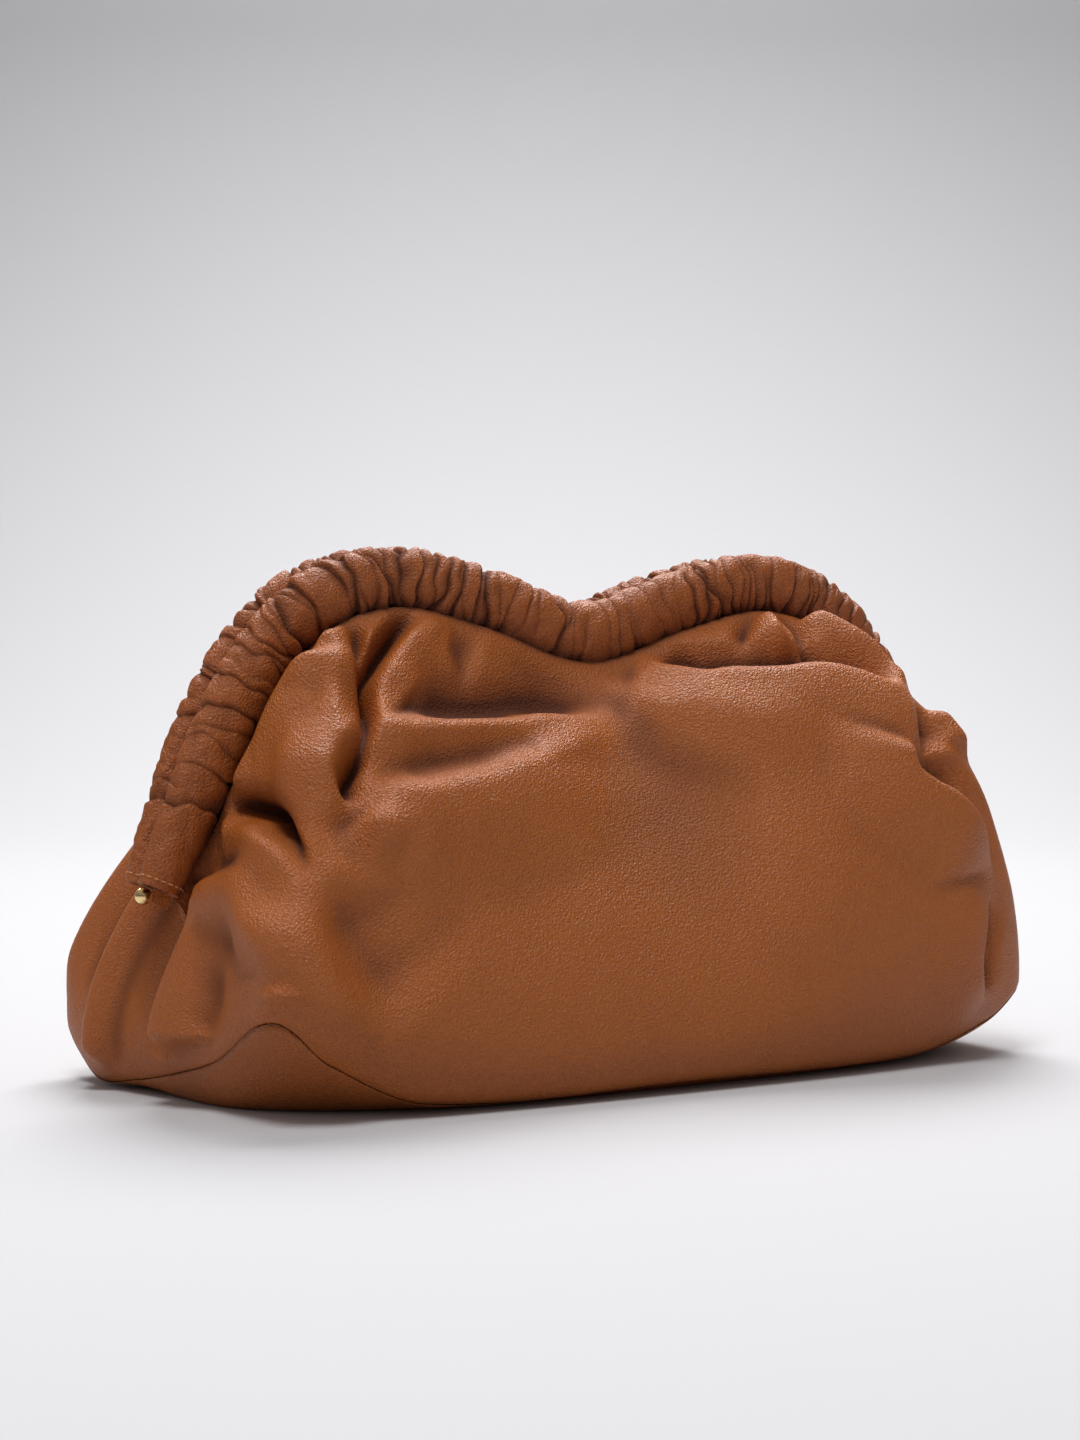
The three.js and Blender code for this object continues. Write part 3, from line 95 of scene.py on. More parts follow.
# Folds of the walls, in mm: the rise of the crest (negative for a valley), the widths a and b of its
# two flanks (a is the left flank of a path seen going down), the shares of the path over which it grows
# and dies away, how far the crest leans toward a, and how the widths change from start to end. A roll is
# full and round. A ledge rolls over on its a side and drops within its lip to a trough on its b side.
# The path holds places (u, v) on a wall. In the front folds, all but corner mass, a scratch script worked
# them out from marks made by hand on the photograph.
FOLDS = [
    # pouf
    {"rise": 8, "a": 18, "b": 16, "kind": "roll", "start": 0.12, "end": 0.4, "wide": (0.7, 1.2),
     "path": [(-0.545, 0.962), (-0.6, 0.921), (-0.655, 0.891), (-0.704, 0.831), (-0.733, 0.746),
              (-0.74, 0.655), (-0.717, 0.534)]},
    # pouf right side
    {"rise": 8, "a": 24, "b": 9, "kind": "ledge", "dip": 8, "lip": 4, "start": 0.05, "end": 0.2,
     "path": [(-0.482, 0.991), (-0.531, 0.921), (-0.554, 0.882), (-0.579, 0.841), (-0.615, 0.771),
              (-0.646, 0.725), (-0.671, 0.673), (-0.665, 0.623), (-0.645, 0.589)]},
    # pouf left side
    {"rise": 8, "a": 22, "b": 8, "kind": "ledge", "dip": 8, "lip": 4, "start": 0.15, "end": 0.15,
     "path": [(-0.843, 0.958), (-0.826, 0.998), (-0.796, 0.96), (-0.754, 0.958), (-0.706, 0.96),
              (-0.668, 0.96), (-0.626, 0.958), (-0.579, 0.968)]},
    # pouf top
    {"rise": 5, "a": 10, "b": 5, "kind": "ledge", "dip": 4, "lip": 4, "start": 0.3, "end": 0.3,
     "path": [(-0.583, 0.966), (-0.548, 0.971), (-0.525, 0.977), (-0.482, 0.998)]},
    # pouf knob
    {"rise": 3, "a": 9, "b": 8, "start": 0.3, "end": 0.5,
     "path": [(-0.53, 0.96), (-0.557, 0.949), (-0.591, 0.929)]},
    # pouf saddle
    {"rise": -4, "a": 7, "b": 7, "start": 0.3, "end": 0.3,
     "path": [(-0.617, 1), (-0.613, 0.969), (-0.584, 0.936), (-0.533, 0.925)]},
    # pouf low crease
    {"rise": -1.2, "a": 6, "b": 5, "start": 0.3, "end": 0.3,
     "path": [(-0.671, 0.941), (-0.651, 0.881), (-0.611, 0.85)]},
    # tube hollow
    {"rise": -7, "a": 7, "b": 6, "start": 0.2, "end": 0.2,
     "path": [(-0.637, 1), (-0.697, 1), (-0.762, 1), (-0.806, 1), (-0.842, 1)]},
    # recess
    {"rise": -11, "a": 7, "b": 11, "start": 0.25, "end": 0.4,
     "path": [(-0.846, 0.965), (-0.835, 0.863), (-0.791, 0.683), (-0.733, 0.525)]},
    # second ridge
    {"rise": 9, "a": 32, "b": 9, "kind": "ledge", "dip": 8, "lip": 5, "start": 0.15, "end": 0.45,
     "path": [(-0.867, 1), (-0.849, 0.891), (-0.794, 0.641), (-0.726, 0.462), (-0.69, 0.354)]},
    # knob valley
    {"rise": -6, "a": 4, "b": 4, "start": 0.15, "end": 0.3,
     "path": [(-0.462, 0.998), (-0.502, 0.952), (-0.535, 0.905), (-0.568, 0.847)]},
    # flap
    {"rise": 3, "a": 5, "b": 5, "kind": "roll", "start": 0.3, "end": 0.5,
     "path": [(-0.439, 0.974), (-0.471, 0.937), (-0.508, 0.911), (-0.565, 0.86)]},
    # deep valley
    {"rise": -13, "a": 6, "b": 7, "start": 0.08, "end": 0.25,
     "path": [(-0.339, 0.998), (-0.406, 0.938), (-0.486, 0.89), (-0.566, 0.845), (-0.602, 0.785),
              (-0.631, 0.724)]},
    # pouf right drop
    {"rise": -5, "a": 5, "b": 10, "start": 0.2, "end": 0.4,
     "path": [(-0.62, 0.735), (-0.648, 0.697), (-0.653, 0.636), (-0.64, 0.585)]},
    # peak panel
    {"rise": 5, "a": 26, "b": 6, "kind": "ledge", "dip": 3, "lip": 5, "start": 0.35, "end": 0.3,
     "path": [(-0.552, 0.829), (-0.524, 0.846), (-0.468, 0.876), (-0.388, 0.926), (-0.327, 0.97)]},
    # peak top
    {"rise": 2.5, "a": 7, "b": 7, "start": 0.3, "end": 0.6,
     "path": [(-0.29, 1), (-0.309, 0.958), (-0.344, 0.907)]},
    # peak right
    {"rise": -4, "a": 6, "b": 8, "start": 0.08, "end": 0.5,
     "path": [(-0.255, 1), (-0.246, 0.96), (-0.275, 0.879)]},
    # soft gather
    {"rise": -3, "a": 7, "b": 7, "start": 0.08, "end": 0.5,
     "path": [(-0.208, 1), (-0.232, 0.923), (-0.27, 0.83)]},
    # mid hollow
    {"rise": -9, "a": 14, "b": 34, "start": 0.3, "end": 0.3,
     "path": [(-0.497, 0.805), (-0.366, 0.796), (-0.221, 0.825), (-0.092, 0.881), (0.006, 0.925)]},
    # ledge one
    {"rise": 6, "a": 22, "b": 28, "kind": "ledge", "dip": 3, "lip": 14, "lean": -0.1,
     "start": 0.15, "end": 0.35,
     "path": [(-0.539, 0.844), (-0.567, 0.762), (-0.522, 0.74), (-0.439, 0.74), (-0.351, 0.744),
              (-0.251, 0.764), (-0.176, 0.79), (-0.065, 0.83), (-0.001, 0.861), (0.025, 0.837)]},
    # ledge two
    {"rise": 8, "a": 44, "b": 26, "kind": "ledge", "dip": 3, "lip": 14, "lean": -0.1,
     "start": 0.2, "end": 0.5,
     "path": [(-0.647, 0.6), (-0.601, 0.605), (-0.548, 0.615), (-0.426, 0.641), (-0.303, 0.663),
              (-0.217, 0.696), (-0.126, 0.738), (-0.055, 0.79), (-0.005, 0.837), (0.02, 0.851)]},
    # patch
    {"rise": 6, "a": 16, "b": 14, "start": 0.3, "end": 0.6,
     "path": [(-0.633, 0.587), (-0.601, 0.55), (-0.541, 0.534)]},
    # patch valley
    {"rise": -3.5, "a": 20, "b": 12, "start": 0.3, "end": 0.6,
     "path": [(-0.68, 0.61), (-0.646, 0.527), (-0.593, 0.46)]},
    # dip ridge
    {"rise": 2.2, "a": 9, "b": 12, "start": 0.3, "end": 0.4,
     "path": [(-0.001, 0.96), (0.014, 0.928), (0.029, 0.889), (0.047, 0.848), (0.066, 0.801)]},
    # right ledge
    {"rise": 7, "a": 44, "b": 26, "kind": "ledge", "dip": 8, "lip": 12, "lean": -0.1,
     "start": 0.2, "end": 0.2,
     "path": [(0.037, 0.985), (0.067, 0.968), (0.078, 0.93), (0.105, 0.897), (0.143, 0.868),
              (0.188, 0.855), (0.226, 0.837), (0.279, 0.819), (0.335, 0.812), (0.388, 0.804),
              (0.445, 0.788), (0.511, 0.769), (0.62, 0.796)]},
    # dome, whose third place was marked wrongly and lies on the back wall
    {"rise": 5, "a": 16, "b": 6, "kind": "ledge", "dip": 3, "lip": 4, "start": 0.3, "end": 0.3,
     "path": [(0.112, 0.995), (0.152, 1), (1.704, 0.968), (0.248, 0.992), (0.276, 0.972), (0.281, 0.941)]},
    # peak two
    {"rise": 6, "a": 10, "b": 6, "start": 0.2, "end": 0.3, "wide": (0.6, 1.6),
     "path": [(0.346, 0.978), (0.332, 0.956), (0.321, 0.902), (0.344, 0.864)]},
    # peak two valley
    {"rise": -6, "a": 6, "b": 6, "start": 0.08, "end": 0.3,
     "path": [(0.395, 1), (0.395, 0.936), (0.395, 0.881), (0.426, 0.841)]},
    # peak two left
    {"rise": -5, "a": 6, "b": 6, "start": 0.08, "end": 0.4,
     "path": [(0.321, 1), (0.277, 0.956), (0.232, 0.905)]},
    # right fold
    {"rise": 9, "a": 12, "b": 7, "kind": "ledge", "dip": 4, "lip": 5, "start": 0.12, "end": 0.2,
     "path": [(0.429, 0.978), (0.46, 0.944), (0.503, 0.911), (0.554, 0.861), (0.583, 0.784)]},
    # roll band
    {"rise": 3, "a": 30, "b": 18, "start": 0.3, "end": 0.4,
     "path": [(0.035, 0.904), (0.093, 0.82), (0.188, 0.76), (0.321, 0.723)]},
    # end hollow
    {"rise": -7, "a": 14, "b": 12, "start": 0.2, "end": 0.3,
     "path": [(0.631, 0.767), (0.577, 0.674), (0.575, 0.624), (0.653, 0.578)]},
    # back piece
    {"rise": 6, "a": 12, "b": 10, "start": 0.3, "end": 0.3,
     "path": [(0.641, 0.789), (0.657, 0.739), (0.67, 0.688), (0.657, 0.653)]},
    # end bulge
    {"rise": 9, "a": 40, "b": 28, "kind": "ledge", "dip": 9, "lip": 8, "start": 0.12, "end": 0.45,
     "path": [(0.492, 0.675), (0.469, 0.627), (0.507, 0.589), (0.554, 0.556), (0.586, 0.512),
              (0.609, 0.463), (0.621, 0.413), (0.613, 0.367)]},
    # right edge
    {"rise": 4, "a": 30, "b": 20, "kind": "ledge", "dip": 9, "lip": 7, "start": 0.4, "end": 0.3,
     "path": [(0.621, 0.386), (0.575, 0.308), (0.562, 0.22), (0.595, 0.102)]},
    # corner mass
    {"rise": 12, "a": 34, "b": 18, "kind": "ledge", "dip": 4, "lip": 9, "start": 0.12, "end": 0.12,
     "path": [(-0.965, 0.08), (-0.97, 0.2), (-0.958, 0.36), (-0.94, 0.55), (-0.92, 0.72), (-0.905, 0.87)]},
    # left dip
    {"rise": -3, "a": 12, "b": 12, "start": 0.4, "end": 0.3,
     "path": [(-0.893, 0.424), (-0.864, 0.233), (-0.895, 0.118)]},
    # grain ridge
    {"rise": 8, "a": 18, "b": 16, "start": 0.3, "end": 0.35,
     "path": [(-0.905, 0.864), (-0.873, 0.617), (-0.731, 0.239), (-0.716, 0.114)]},
    # wide valley
    {"rise": -8, "a": 28, "b": 50, "start": 0.35, "end": 0.4,
     "path": [(-0.671, 0.45), (-0.628, 0.358), (-0.573, 0.282), (-0.513, 0.225)]},
    # low ridge
    {"rise": 7, "a": 22, "b": 22, "start": 0.35, "end": 0.35,
     "path": [(-0.732, 0.412), (-0.692, 0.286), (-0.661, 0.217), (-0.615, 0.172), (-0.551, 0.141)]},
    # pucker
    {"rise": 4, "a": 6, "b": 4, "start": 0.3, "end": 0.3,
     "path": [(-0.724, 0.075), (-0.708, 0.092), (-0.696, 0.104), (-0.684, 0.11), (-0.675, 0.101)]},
    # back, from here on: left end ridge
    {"rise": 9, "a": 12, "b": 10, "start": 0.3, "end": 0.1,
     "path": [(-1.13, 0.9), (-1.14, 0.7), (-1.15, 0.45), (-1.16, 0.04)]},
    # left end valley
    {"rise": -7, "a": 9, "b": 9, "start": 0.3, "end": 0.3,
     "path": [(-1.21, 0.85), (-1.22, 0.6), (-1.23, 0.35), (-1.24, 0.15)]},
    # left end low ridge
    {"rise": 4, "a": 12, "b": 12, "start": 0.3, "end": 0.2,
     "path": [(-1.29, 0.75), (-1.29, 0.5), (-1.3, 0.06)]},
    # left shoulder
    {"rise": 12, "a": 18, "b": 20, "start": 0.1, "end": 0.4,
     "path": [(-1.42, 0.99), (-1.38, 0.88), (-1.34, 0.72), (-1.33, 0.52)]},
    # valley beside the left shoulder
    {"rise": -7, "a": 10, "b": 12, "start": 0.1, "end": 0.4,
     "path": [(-1.5, 0.97), (-1.46, 0.86), (-1.43, 0.7)]},
    # left gather
    {"rise": 7, "a": 12, "b": 14, "start": 0.08, "end": 0.5,
     "path": [(-1.62, 0.98), (-1.57, 0.88), (-1.53, 0.74)]},
    # left gather valley
    {"rise": -5, "a": 10, "b": 12, "start": 0.08, "end": 0.5,
     "path": [(-1.7, 0.97), (-1.66, 0.86), (-1.63, 0.74)]},
    # middle gather
    {"rise": 5, "a": 14, "b": 14, "start": 0.1, "end": 0.5,
     "path": [(-1.82, 0.97), (-1.79, 0.88), (-1.76, 0.76)]},
    # left swag
    {"rise": 8, "a": 26, "b": 14, "start": 0.3, "end": 0.3,
     "path": [(-1.4, 0.62), (-1.52, 0.63), (-1.66, 0.66), (-1.82, 0.7), (-1.96, 0.78)]},
    # hollow over the left swag
    {"rise": -5, "a": 14, "b": 18, "start": 0.3, "end": 0.3,
     "path": [(-1.5, 0.78), (-1.64, 0.77), (-1.8, 0.82)]},
    # right shoulder
    {"rise": 13, "a": 18, "b": 20, "start": 0.1, "end": 0.4,
     "path": [(1.44, 0.99), (1.38, 0.89), (1.33, 0.74), (1.31, 0.52)]},
    # valley beside the right shoulder
    {"rise": -7, "a": 10, "b": 10, "start": 0.1, "end": 0.4,
     "path": [(1.52, 0.97), (1.47, 0.86), (1.43, 0.7)]},
    # right gather
    {"rise": 7, "a": 12, "b": 12, "start": 0.08, "end": 0.5,
     "path": [(1.63, 0.98), (1.59, 0.88), (1.56, 0.76)]},
    # right gather valley
    {"rise": -4, "a": 12, "b": 10, "start": 0.08, "end": 0.5,
     "path": [(1.72, 0.97), (1.68, 0.87), (1.66, 0.76)]},
    # right swag
    {"rise": 8, "a": 14, "b": 30, "start": 0.3, "end": 0.3,
     "path": [(1.38, 0.68), (1.52, 0.71), (1.68, 0.73), (1.86, 0.78), (1.98, 0.84)]},
    # soft middle
    {"rise": 3, "a": 24, "b": 26, "start": 0.3, "end": 0.5,
     "path": [(1.98, 0.72), (1.9, 0.6), (1.8, 0.46)]},
    # right end ridge
    {"rise": 8, "a": 12, "b": 12, "start": 0.25, "end": 0.3,
     "path": [(1.22, 0.86), (1.23, 0.66), (1.25, 0.44)]},
    # right end valley
    {"rise": -6, "a": 12, "b": 12, "start": 0.3, "end": 0.3,
     "path": [(1.13, 0.8), (1.14, 0.55), (1.15, 0.3)]},
]


def ease(x):
    t = np.clip(x, 0, 1)
    return t * t * (3 - 2 * t)


def read(rows, u, column):
    """Smooth reading of one column of a table at u."""
    k = np.array([r[0] for r in rows], float)
    y = np.array([r[column] for r in rows], float)
    m = np.empty_like(y)
    m[1:-1] = (y[2:] - y[:-2]) / (k[2:] - k[:-2])
    m[0], m[-1] = (y[1] - y[0]) / (k[1] - k[0]), (y[-1] - y[-2]) / (k[-1] - k[-2])
    x = np.clip(np.asarray(u, float), k[0], k[-1])
    i = np.clip(np.searchsorted(k, x, side="right") - 1, 0, len(k) - 2)
    h = k[i + 1] - k[i]
    t = (x - k[i]) / h
    return ((2*t**3 - 3*t**2 + 1) * y[i] + (t**3 - 2*t**2 + t) * h * m[i]
            + (3*t**2 - 2*t**3) * y[i + 1] + (t**3 - t**2) * h * m[i + 1])


def smoothed(points, steps):
    """Points along a smooth curve through control points."""
    p = np.array(points, float)
    p = np.vstack([2 * p[0] - p[1], p, 2 * p[-1] - p[-2]])
    out = []
    for i in range(1, len(p) - 2):
        t = np.linspace(0, 1, steps, endpoint=False)[:, None]
        a, b, c, d = p[i - 1], p[i], p[i + 1], p[i + 2]
        out.append(0.5 * (2*b + (c - a)*t + (2*a - 5*b + 4*c - d)*t**2 + (3*b - a - 3*c + d)*t**3))
    out.append(p[-2][None])
    return np.vstack(out)


class Line:
    """A polyline that is read by the share of its length."""

    def __init__(self, points):
        self.p = np.asarray(points, float)
        sums = np.concatenate([[0], np.cumsum(np.linalg.norm(np.diff(self.p, axis=0), axis=1))])
        self.length = sums[-1]
        self.s = sums / self.length

    def at(self, share):
        share = np.clip(share, 0, 1)
        return np.stack([np.interp(share, self.s, self.p[:, k]) for k in range(self.p.shape[1])], -1)

    def direction(self, share, step):
        d = self.at(np.asarray(share) + step) - self.at(np.asarray(share) - step)
        return d / np.linalg.norm(d, axis=-1, keepdims=True)


def frame_line():
    half = [(x * FRAME_HALF_SPAN, z) for x, z in FRAME]
    return Line(smoothed([(-x, z) for x, z in half[:0:-1]] + half, FRAME_STEPS))


def seam_line(half_length, half_depth):
    """Half of the base outline from above: left end, corner, front, corner, right end."""
    corner, end = np.array([-half_length, -half_depth]), np.array([-BASE_HALF_LENGTH, 0.0])
    a = corner + (end - corner) * CORNER / np.linalg.norm(end - corner)
    b = corner + np.array([CORNER, 0.0])
    t = np.linspace(0, 1, CORNER_STEPS)[:, None]
    left = np.vstack([end[None], (1 - t)**2 * a + 2 * t * (1 - t) * corner + t * t * b])
    return Line(np.vstack([left, (left * [-1, 1])[::-1]]))


FRAME_LINE = frame_line()
FRONT = {"seam": seam_line(BASE_HALF_LENGTH, BASE_HALF_DEPTH), "rise": SEAM_FRONT,
         "profile": PROFILE_FRONT, "side": 1}
BACK = {"seam": seam_line(BACK_HALF_LENGTH, BACK_HALF_DEPTH), "rise": SEAM_BACK,
        "profile": PROFILE_BACK, "side": -1}


def sleeve_size(u):
    """Half height and half depth of a sleeve's section."""
    taper = 1 - SLEEVE_TAPER * np.clip((np.abs(u) - TAPER_FROM) / TAPER_OVER, 0, 1) ** TAPER_CURVE
    return SLEEVE_HALF_HEIGHT * taper, SLEEVE_HALF_DEPTH * taper


def frame_at(u):
    """Centre points of the frame and the directions in its plane toward the inside, as (x, z)."""
    share = (np.asarray(u, float) + 1) / 2
    along = FRAME_LINE.direction(share, FRAME_NEAR)
    return FRAME_LINE.at(share), np.stack([along[..., 1], -along[..., 0]], -1)


def seam_at(wall, u):
    """Places of a wall's base seam and the level directions out of it."""
    share = (np.asarray(u, float) + 1) / 2
    xy = wall["seam"].at(share)
    z = read(wall["rise"], u, 1)
    along = wall["seam"].direction(share, SEAM_NEAR)
    level = 1 - ease((np.abs(u) - (1 - SEAM_END)) / SEAM_END)
    return (np.stack([xy[..., 0], np.minimum(xy[..., 1], -GAP / 2), z], -1),
            np.stack([along[..., 1], -along[..., 0] * level, 0 * z], -1))


def plain_wall(wall, u, v):
    """Wall without folds at paired places u and v, always on the -Y side."""
    u, v = np.broadcast_arrays(np.asarray(u, float), np.asarray(v, float))
    low, out = seam_at(wall, u)
    (p, inward), (height, depth) = frame_at(u), sleeve_size(u)
    under = ease((np.abs(u) - END_FROM) / (1 - END_FROM))
    turn, below = ease(under * 2), ease(under * 2 - 1)
    angle = LEAVE * (1 - turn)
    inset = (height + GAP) * np.cos(angle) + turn * WALL / 2
    beside = GAP / 2 + depth + (depth + GAP) * np.sin(angle)
    top = np.stack([p[..., 0] + inward[..., 0] * inset, -(beside * (1 - below) + GAP / 2 * below),
                    p[..., 1] + inward[..., 1] * inset], -1)
    belly, up, reach, drop = (read(wall["profile"], u, k)[..., None] for k in (1, 2, 3, 4))
    away = np.stack([inward[..., 0] * drop[..., 0], under - 1, inward[..., 1] * drop[..., 0] - under], -1)
    away /= np.linalg.norm(away, axis=-1, keepdims=True)
    first = low + out * belly + np.array([0, 0, 1.0]) * up
    second = top + away * reach
    v = v[..., None]
    w = 1 - v
    return w**3 * low + 3 * w * w * v * first + 3 * w * v * v * second + v**3 * top


def grid_normals(g):
    """Outward normals of a wall's grid, without a y part along the side seams."""
    east, north = np.gradient(g, axis=1), np.gradient(g, axis=0)
    n = np.cross(east, north)
    for i, sign in ((0, -1), (-1, 1)):
        n[:, i] = sign * np.stack([north[:, i, 2], 0 * north[:, i, 2], -north[:, i, 0]], -1)
    return n / (np.linalg.norm(n, axis=-1, keepdims=True) + TINY)


END_NEAR = 0.17                         # a fold this near an end in u shifts both walls
ROLL_CURVE, ROLL_FULL = 2.2, 0.35       # how round a roll's back is, and how full its flanks stay


def fold_spine(path, wall):
    """Points along a fold's path, mirrored where it runs on the other wall."""
    spine = []
    for u, v in smoothed(path, PATH_STEPS):
        in_front = abs(u) <= 1
        at = plain_wall(FRONT, u, v) if in_front else plain_wall(BACK, math.copysign(2 - abs(u), u), v)
        spine.append(at * [1, 1 if in_front == (wall["side"] == 1) else -1, 1])
    return np.array(spine)


def fold_shift(points, normals, wall):
    """Shift of wall points by all folds that reach them."""
    total = np.zeros_like(points)
    for fold in FOLDS:
        path, rise, a, b = fold["path"], fold["rise"], fold["a"], fold["b"]
        near = any(abs(abs(u) - 1) < END_NEAR for u, _ in path)
        own = any((abs(u) <= 1) == (wall["side"] == 1) for u, _ in path)
        if not near and not own:
            continue
        spine = fold_spine(path, wall)
        wide0, wide1 = fold.get("wide", (1, 1))
        reach = max(a, b) * max(wide0, wide1)
        sel = np.all((points > spine.min(0) - reach) & (points < spine.max(0) + reach), axis=-1)
        if not sel.any():
            continue
        p, n = points[sel], normals[sel]
        best = np.full(len(p), np.inf)
        nearest, place, along = np.zeros_like(p), np.zeros(len(p)), np.zeros_like(p)
        steps = np.linalg.norm(np.diff(spine, axis=0), axis=1)
        sums = np.concatenate([[0], np.cumsum(steps)])
        for i, step in enumerate(steps):
            ab = spine[i + 1] - spine[i]
            t = np.clip((p - spine[i]) @ ab / (step * step + TINY), 0, 1)
            spot = spine[i] + t[:, None] * ab
            d = ((p - spot) ** 2).sum(1)
            m = d < best
            best[m], nearest[m], along[m] = d[m], spot[m], ab / (step + TINY)
            place[m] = (sums[i] + t[m] * step) / sums[-1]
        across = np.cross(along, n)
        across *= wall["side"] / (np.linalg.norm(across, axis=1, keepdims=True) + TINY)
        width = wide0 + (wide1 - wide0) * place
        signed = ((p - nearest) * across).sum(1)
        beyond = np.sqrt(best)
        grow = ease(place / fold["start"]) * ease((1 - place) / fold["end"])
        r = np.clip(beyond / (np.where(signed >= 0, a, b) * width), 0, 1)
        kind = fold.get("kind", "round")
        shape = (1 - r)**2 * (1 + 2 * r)
        if kind == "roll":
            flanks = ROLL_FULL + (1 - ROLL_FULL) * (1 - r)**2 * (1 + 2 * r)
            shape = np.sqrt(np.clip(1 - r**ROLL_CURVE, 0, 1)) * flanks
        if kind == "ledge":
            lip = fold["lip"]
            fall = ease(beyond / lip)
            trough = fall * (1 - ease((beyond - lip) / np.maximum(b * width - lip, 1)))
            shape = np.where(signed >= 0, shape, 1 - fall - fold["dip"] / rise * trough)
        h = rise * shape * grow
        hang = fold.get("lean", 0) * np.abs(rise) * grow * (1 - r)**2
        total[sel] += n * h[:, None] + across * hang[:, None]
    return total


def soften(g, times):
    """Laplacian smoothing of a grid's shift, edges kept."""
    for _ in range(times):
        mean = (g[:-2, 1:-1] + g[2:, 1:-1] + g[1:-1, :-2] + g[1:-1, 2:]) / 4
        g[1:-1, 1:-1] += mean - g[1:-1, 1:-1]
    return g


ROW_CURVE = 0.92                        # rows lie a little closer toward the sleeve
LOW_HOLD, TOP_HOLD, SIDE_HOLD = 0.05, 0.06, 0.03        # parts of v and u at the edges that folds leave
SHIFT_SMOOTHING = 3
SAG_FROM, SAG_SLOPE, LOWEST = 3, 0.4, 0.5       # how a wall may sink below its seam, in mm and mm per mm


def wall_grid(wall, columns, rows):
    """A wall with its folds, always on the -Y side."""
    u = np.linspace(-1, 1, columns)[None, :]
    v = (np.linspace(0, 1, rows) ** ROW_CURVE)[:, None]
    plain = plain_wall(wall, u, v)
    facing = grid_normals(plain)
    hold = (ease(v / LOW_HOLD) * ease((1 - v) / TOP_HOLD))[..., None]
    shift = fold_shift(plain, facing, wall) * hold
    shift = soften(shift, SHIFT_SMOOTHING)
    # the two walls stay together along the side seams
    shift[..., 1] *= ease((1 - np.abs(u)) / SIDE_HOLD)
    g = plain + shift
    low, _ = seam_at(wall, u)
    beyond = np.linalg.norm((g - low)[..., :2], axis=-1)
    g[..., 1] = np.minimum(g[..., 1], -GAP / 2)
    sag = np.maximum(beyond - SAG_FROM, 0) * SAG_SLOPE
    g[..., 2] = np.maximum(g[..., 2], np.maximum(low[..., 2] - sag, LOWEST))
    return g


# Where the solids stand: their source is moved so that the footprint's middle is the origin
sleeve_box, base_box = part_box("sleeve_front"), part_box("base_panel")
OFFSET = np.array([(sleeve_box[0][0] + sleeve_box[1][0]) / 2,
                   base_box[0][1] + BASE_HALF_DEPTH / METRE,
                   base_box[0][2]])


def add_mesh(name, points, faces, material, nodes=(), painted_shade=None):
    """One smooth piece on the root body, from points in mm."""
    mesh = bpy.data.meshes.new(name)
    mesh.from_pydata((points.reshape(-1, 3) / METRE + OFFSET).tolist(), [], faces)
    mesh.polygons.foreach_set("use_smooth", np.ones(len(mesh.polygons), bool))
    # the amount of painted shade at each point, which the leather material reads
    if painted_shade is not None:
        values = mesh.attributes.new("painted_shade", "FLOAT", "POINT").data
        values.foreach_set("value", painted_shade.astype(np.float32).ravel())
    mesh.update()
    piece = bpy.data.objects.new(name, mesh)
    bpy.context.scene.collection.objects.link(piece)
    mesh.materials.append(material)
    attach(piece, "root")
    if nodes:
        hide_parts(*nodes)


def grid_faces(rows, columns, turn=False, around=False):
    """Quads of a grid of points, facing east x north; around closes its columns into a ring."""
    j, i = np.meshgrid(np.arange(rows - 1), np.arange(columns if around else columns - 1), indexing="ij")
    k = (i + 1) % columns
    quads = np.stack([j * columns + i, j * columns + k, (j + 1) * columns + k, (j + 1) * columns + i], -1)
    quads = quads.reshape(-1, 4)
    return (quads[:, ::-1] if turn else quads).tolist()


def ring_fan(first, count, tip, turn=False):
    """Triangles from a ring of points to one point at its middle."""
    i = np.arange(count)
    fan = np.stack([first + i, first + (i + 1) % count, np.full(count, tip)], -1)
    return (fan[:, ::-1] if turn else fan).tolist()


def hollowness(g, normals, spread):
    """How far each grid point lies below its surroundings, positive in valleys."""
    base = g.copy()
    for _ in range(spread):
        base[1:-1, 1:-1] = (base[:-2, 1:-1] + base[2:, 1:-1] + base[1:-1, :-2] + base[1:-1, 2:]) / 4
    return ((base - g) * normals).sum(-1)


def wide_hollowness(g, normals, skip, spread):
    """Hollowness on a coarser grid, read back at every point."""
    rows, columns = g.shape[:2]
    j, i = np.arange(0, rows, skip), np.arange(0, columns, skip)
    coarse = hollowness(g[np.ix_(j, i)], normals[np.ix_(j, i)], spread)
    across = np.array([np.interp(np.arange(columns), i, row) for row in coarse])
    return np.array([np.interp(np.arange(rows), j, column) for column in across.T]).T


SEAM_DRAW, SEAM_DRAW_OVER = 0.8, 3.2    # a wall's lowest 3.2 mm draw in by up to 0.8
SEAM_TURN, SEAM_TURN_RISE = 2.4, 0.4    # its edge then turns in behind the seam
FINE_SPREAD, WIDE_SKIP, WIDE_SPREAD, WIDE_SHARE = 40, 5, 36, 0.17       # of the two hollowness readings, which set the painted shade in the valleys
DEEPEST = 9
EDGE_SHADE, EDGE_FADE = 2.2, 2.2        # painted shade line under the sleeve: strength and mm
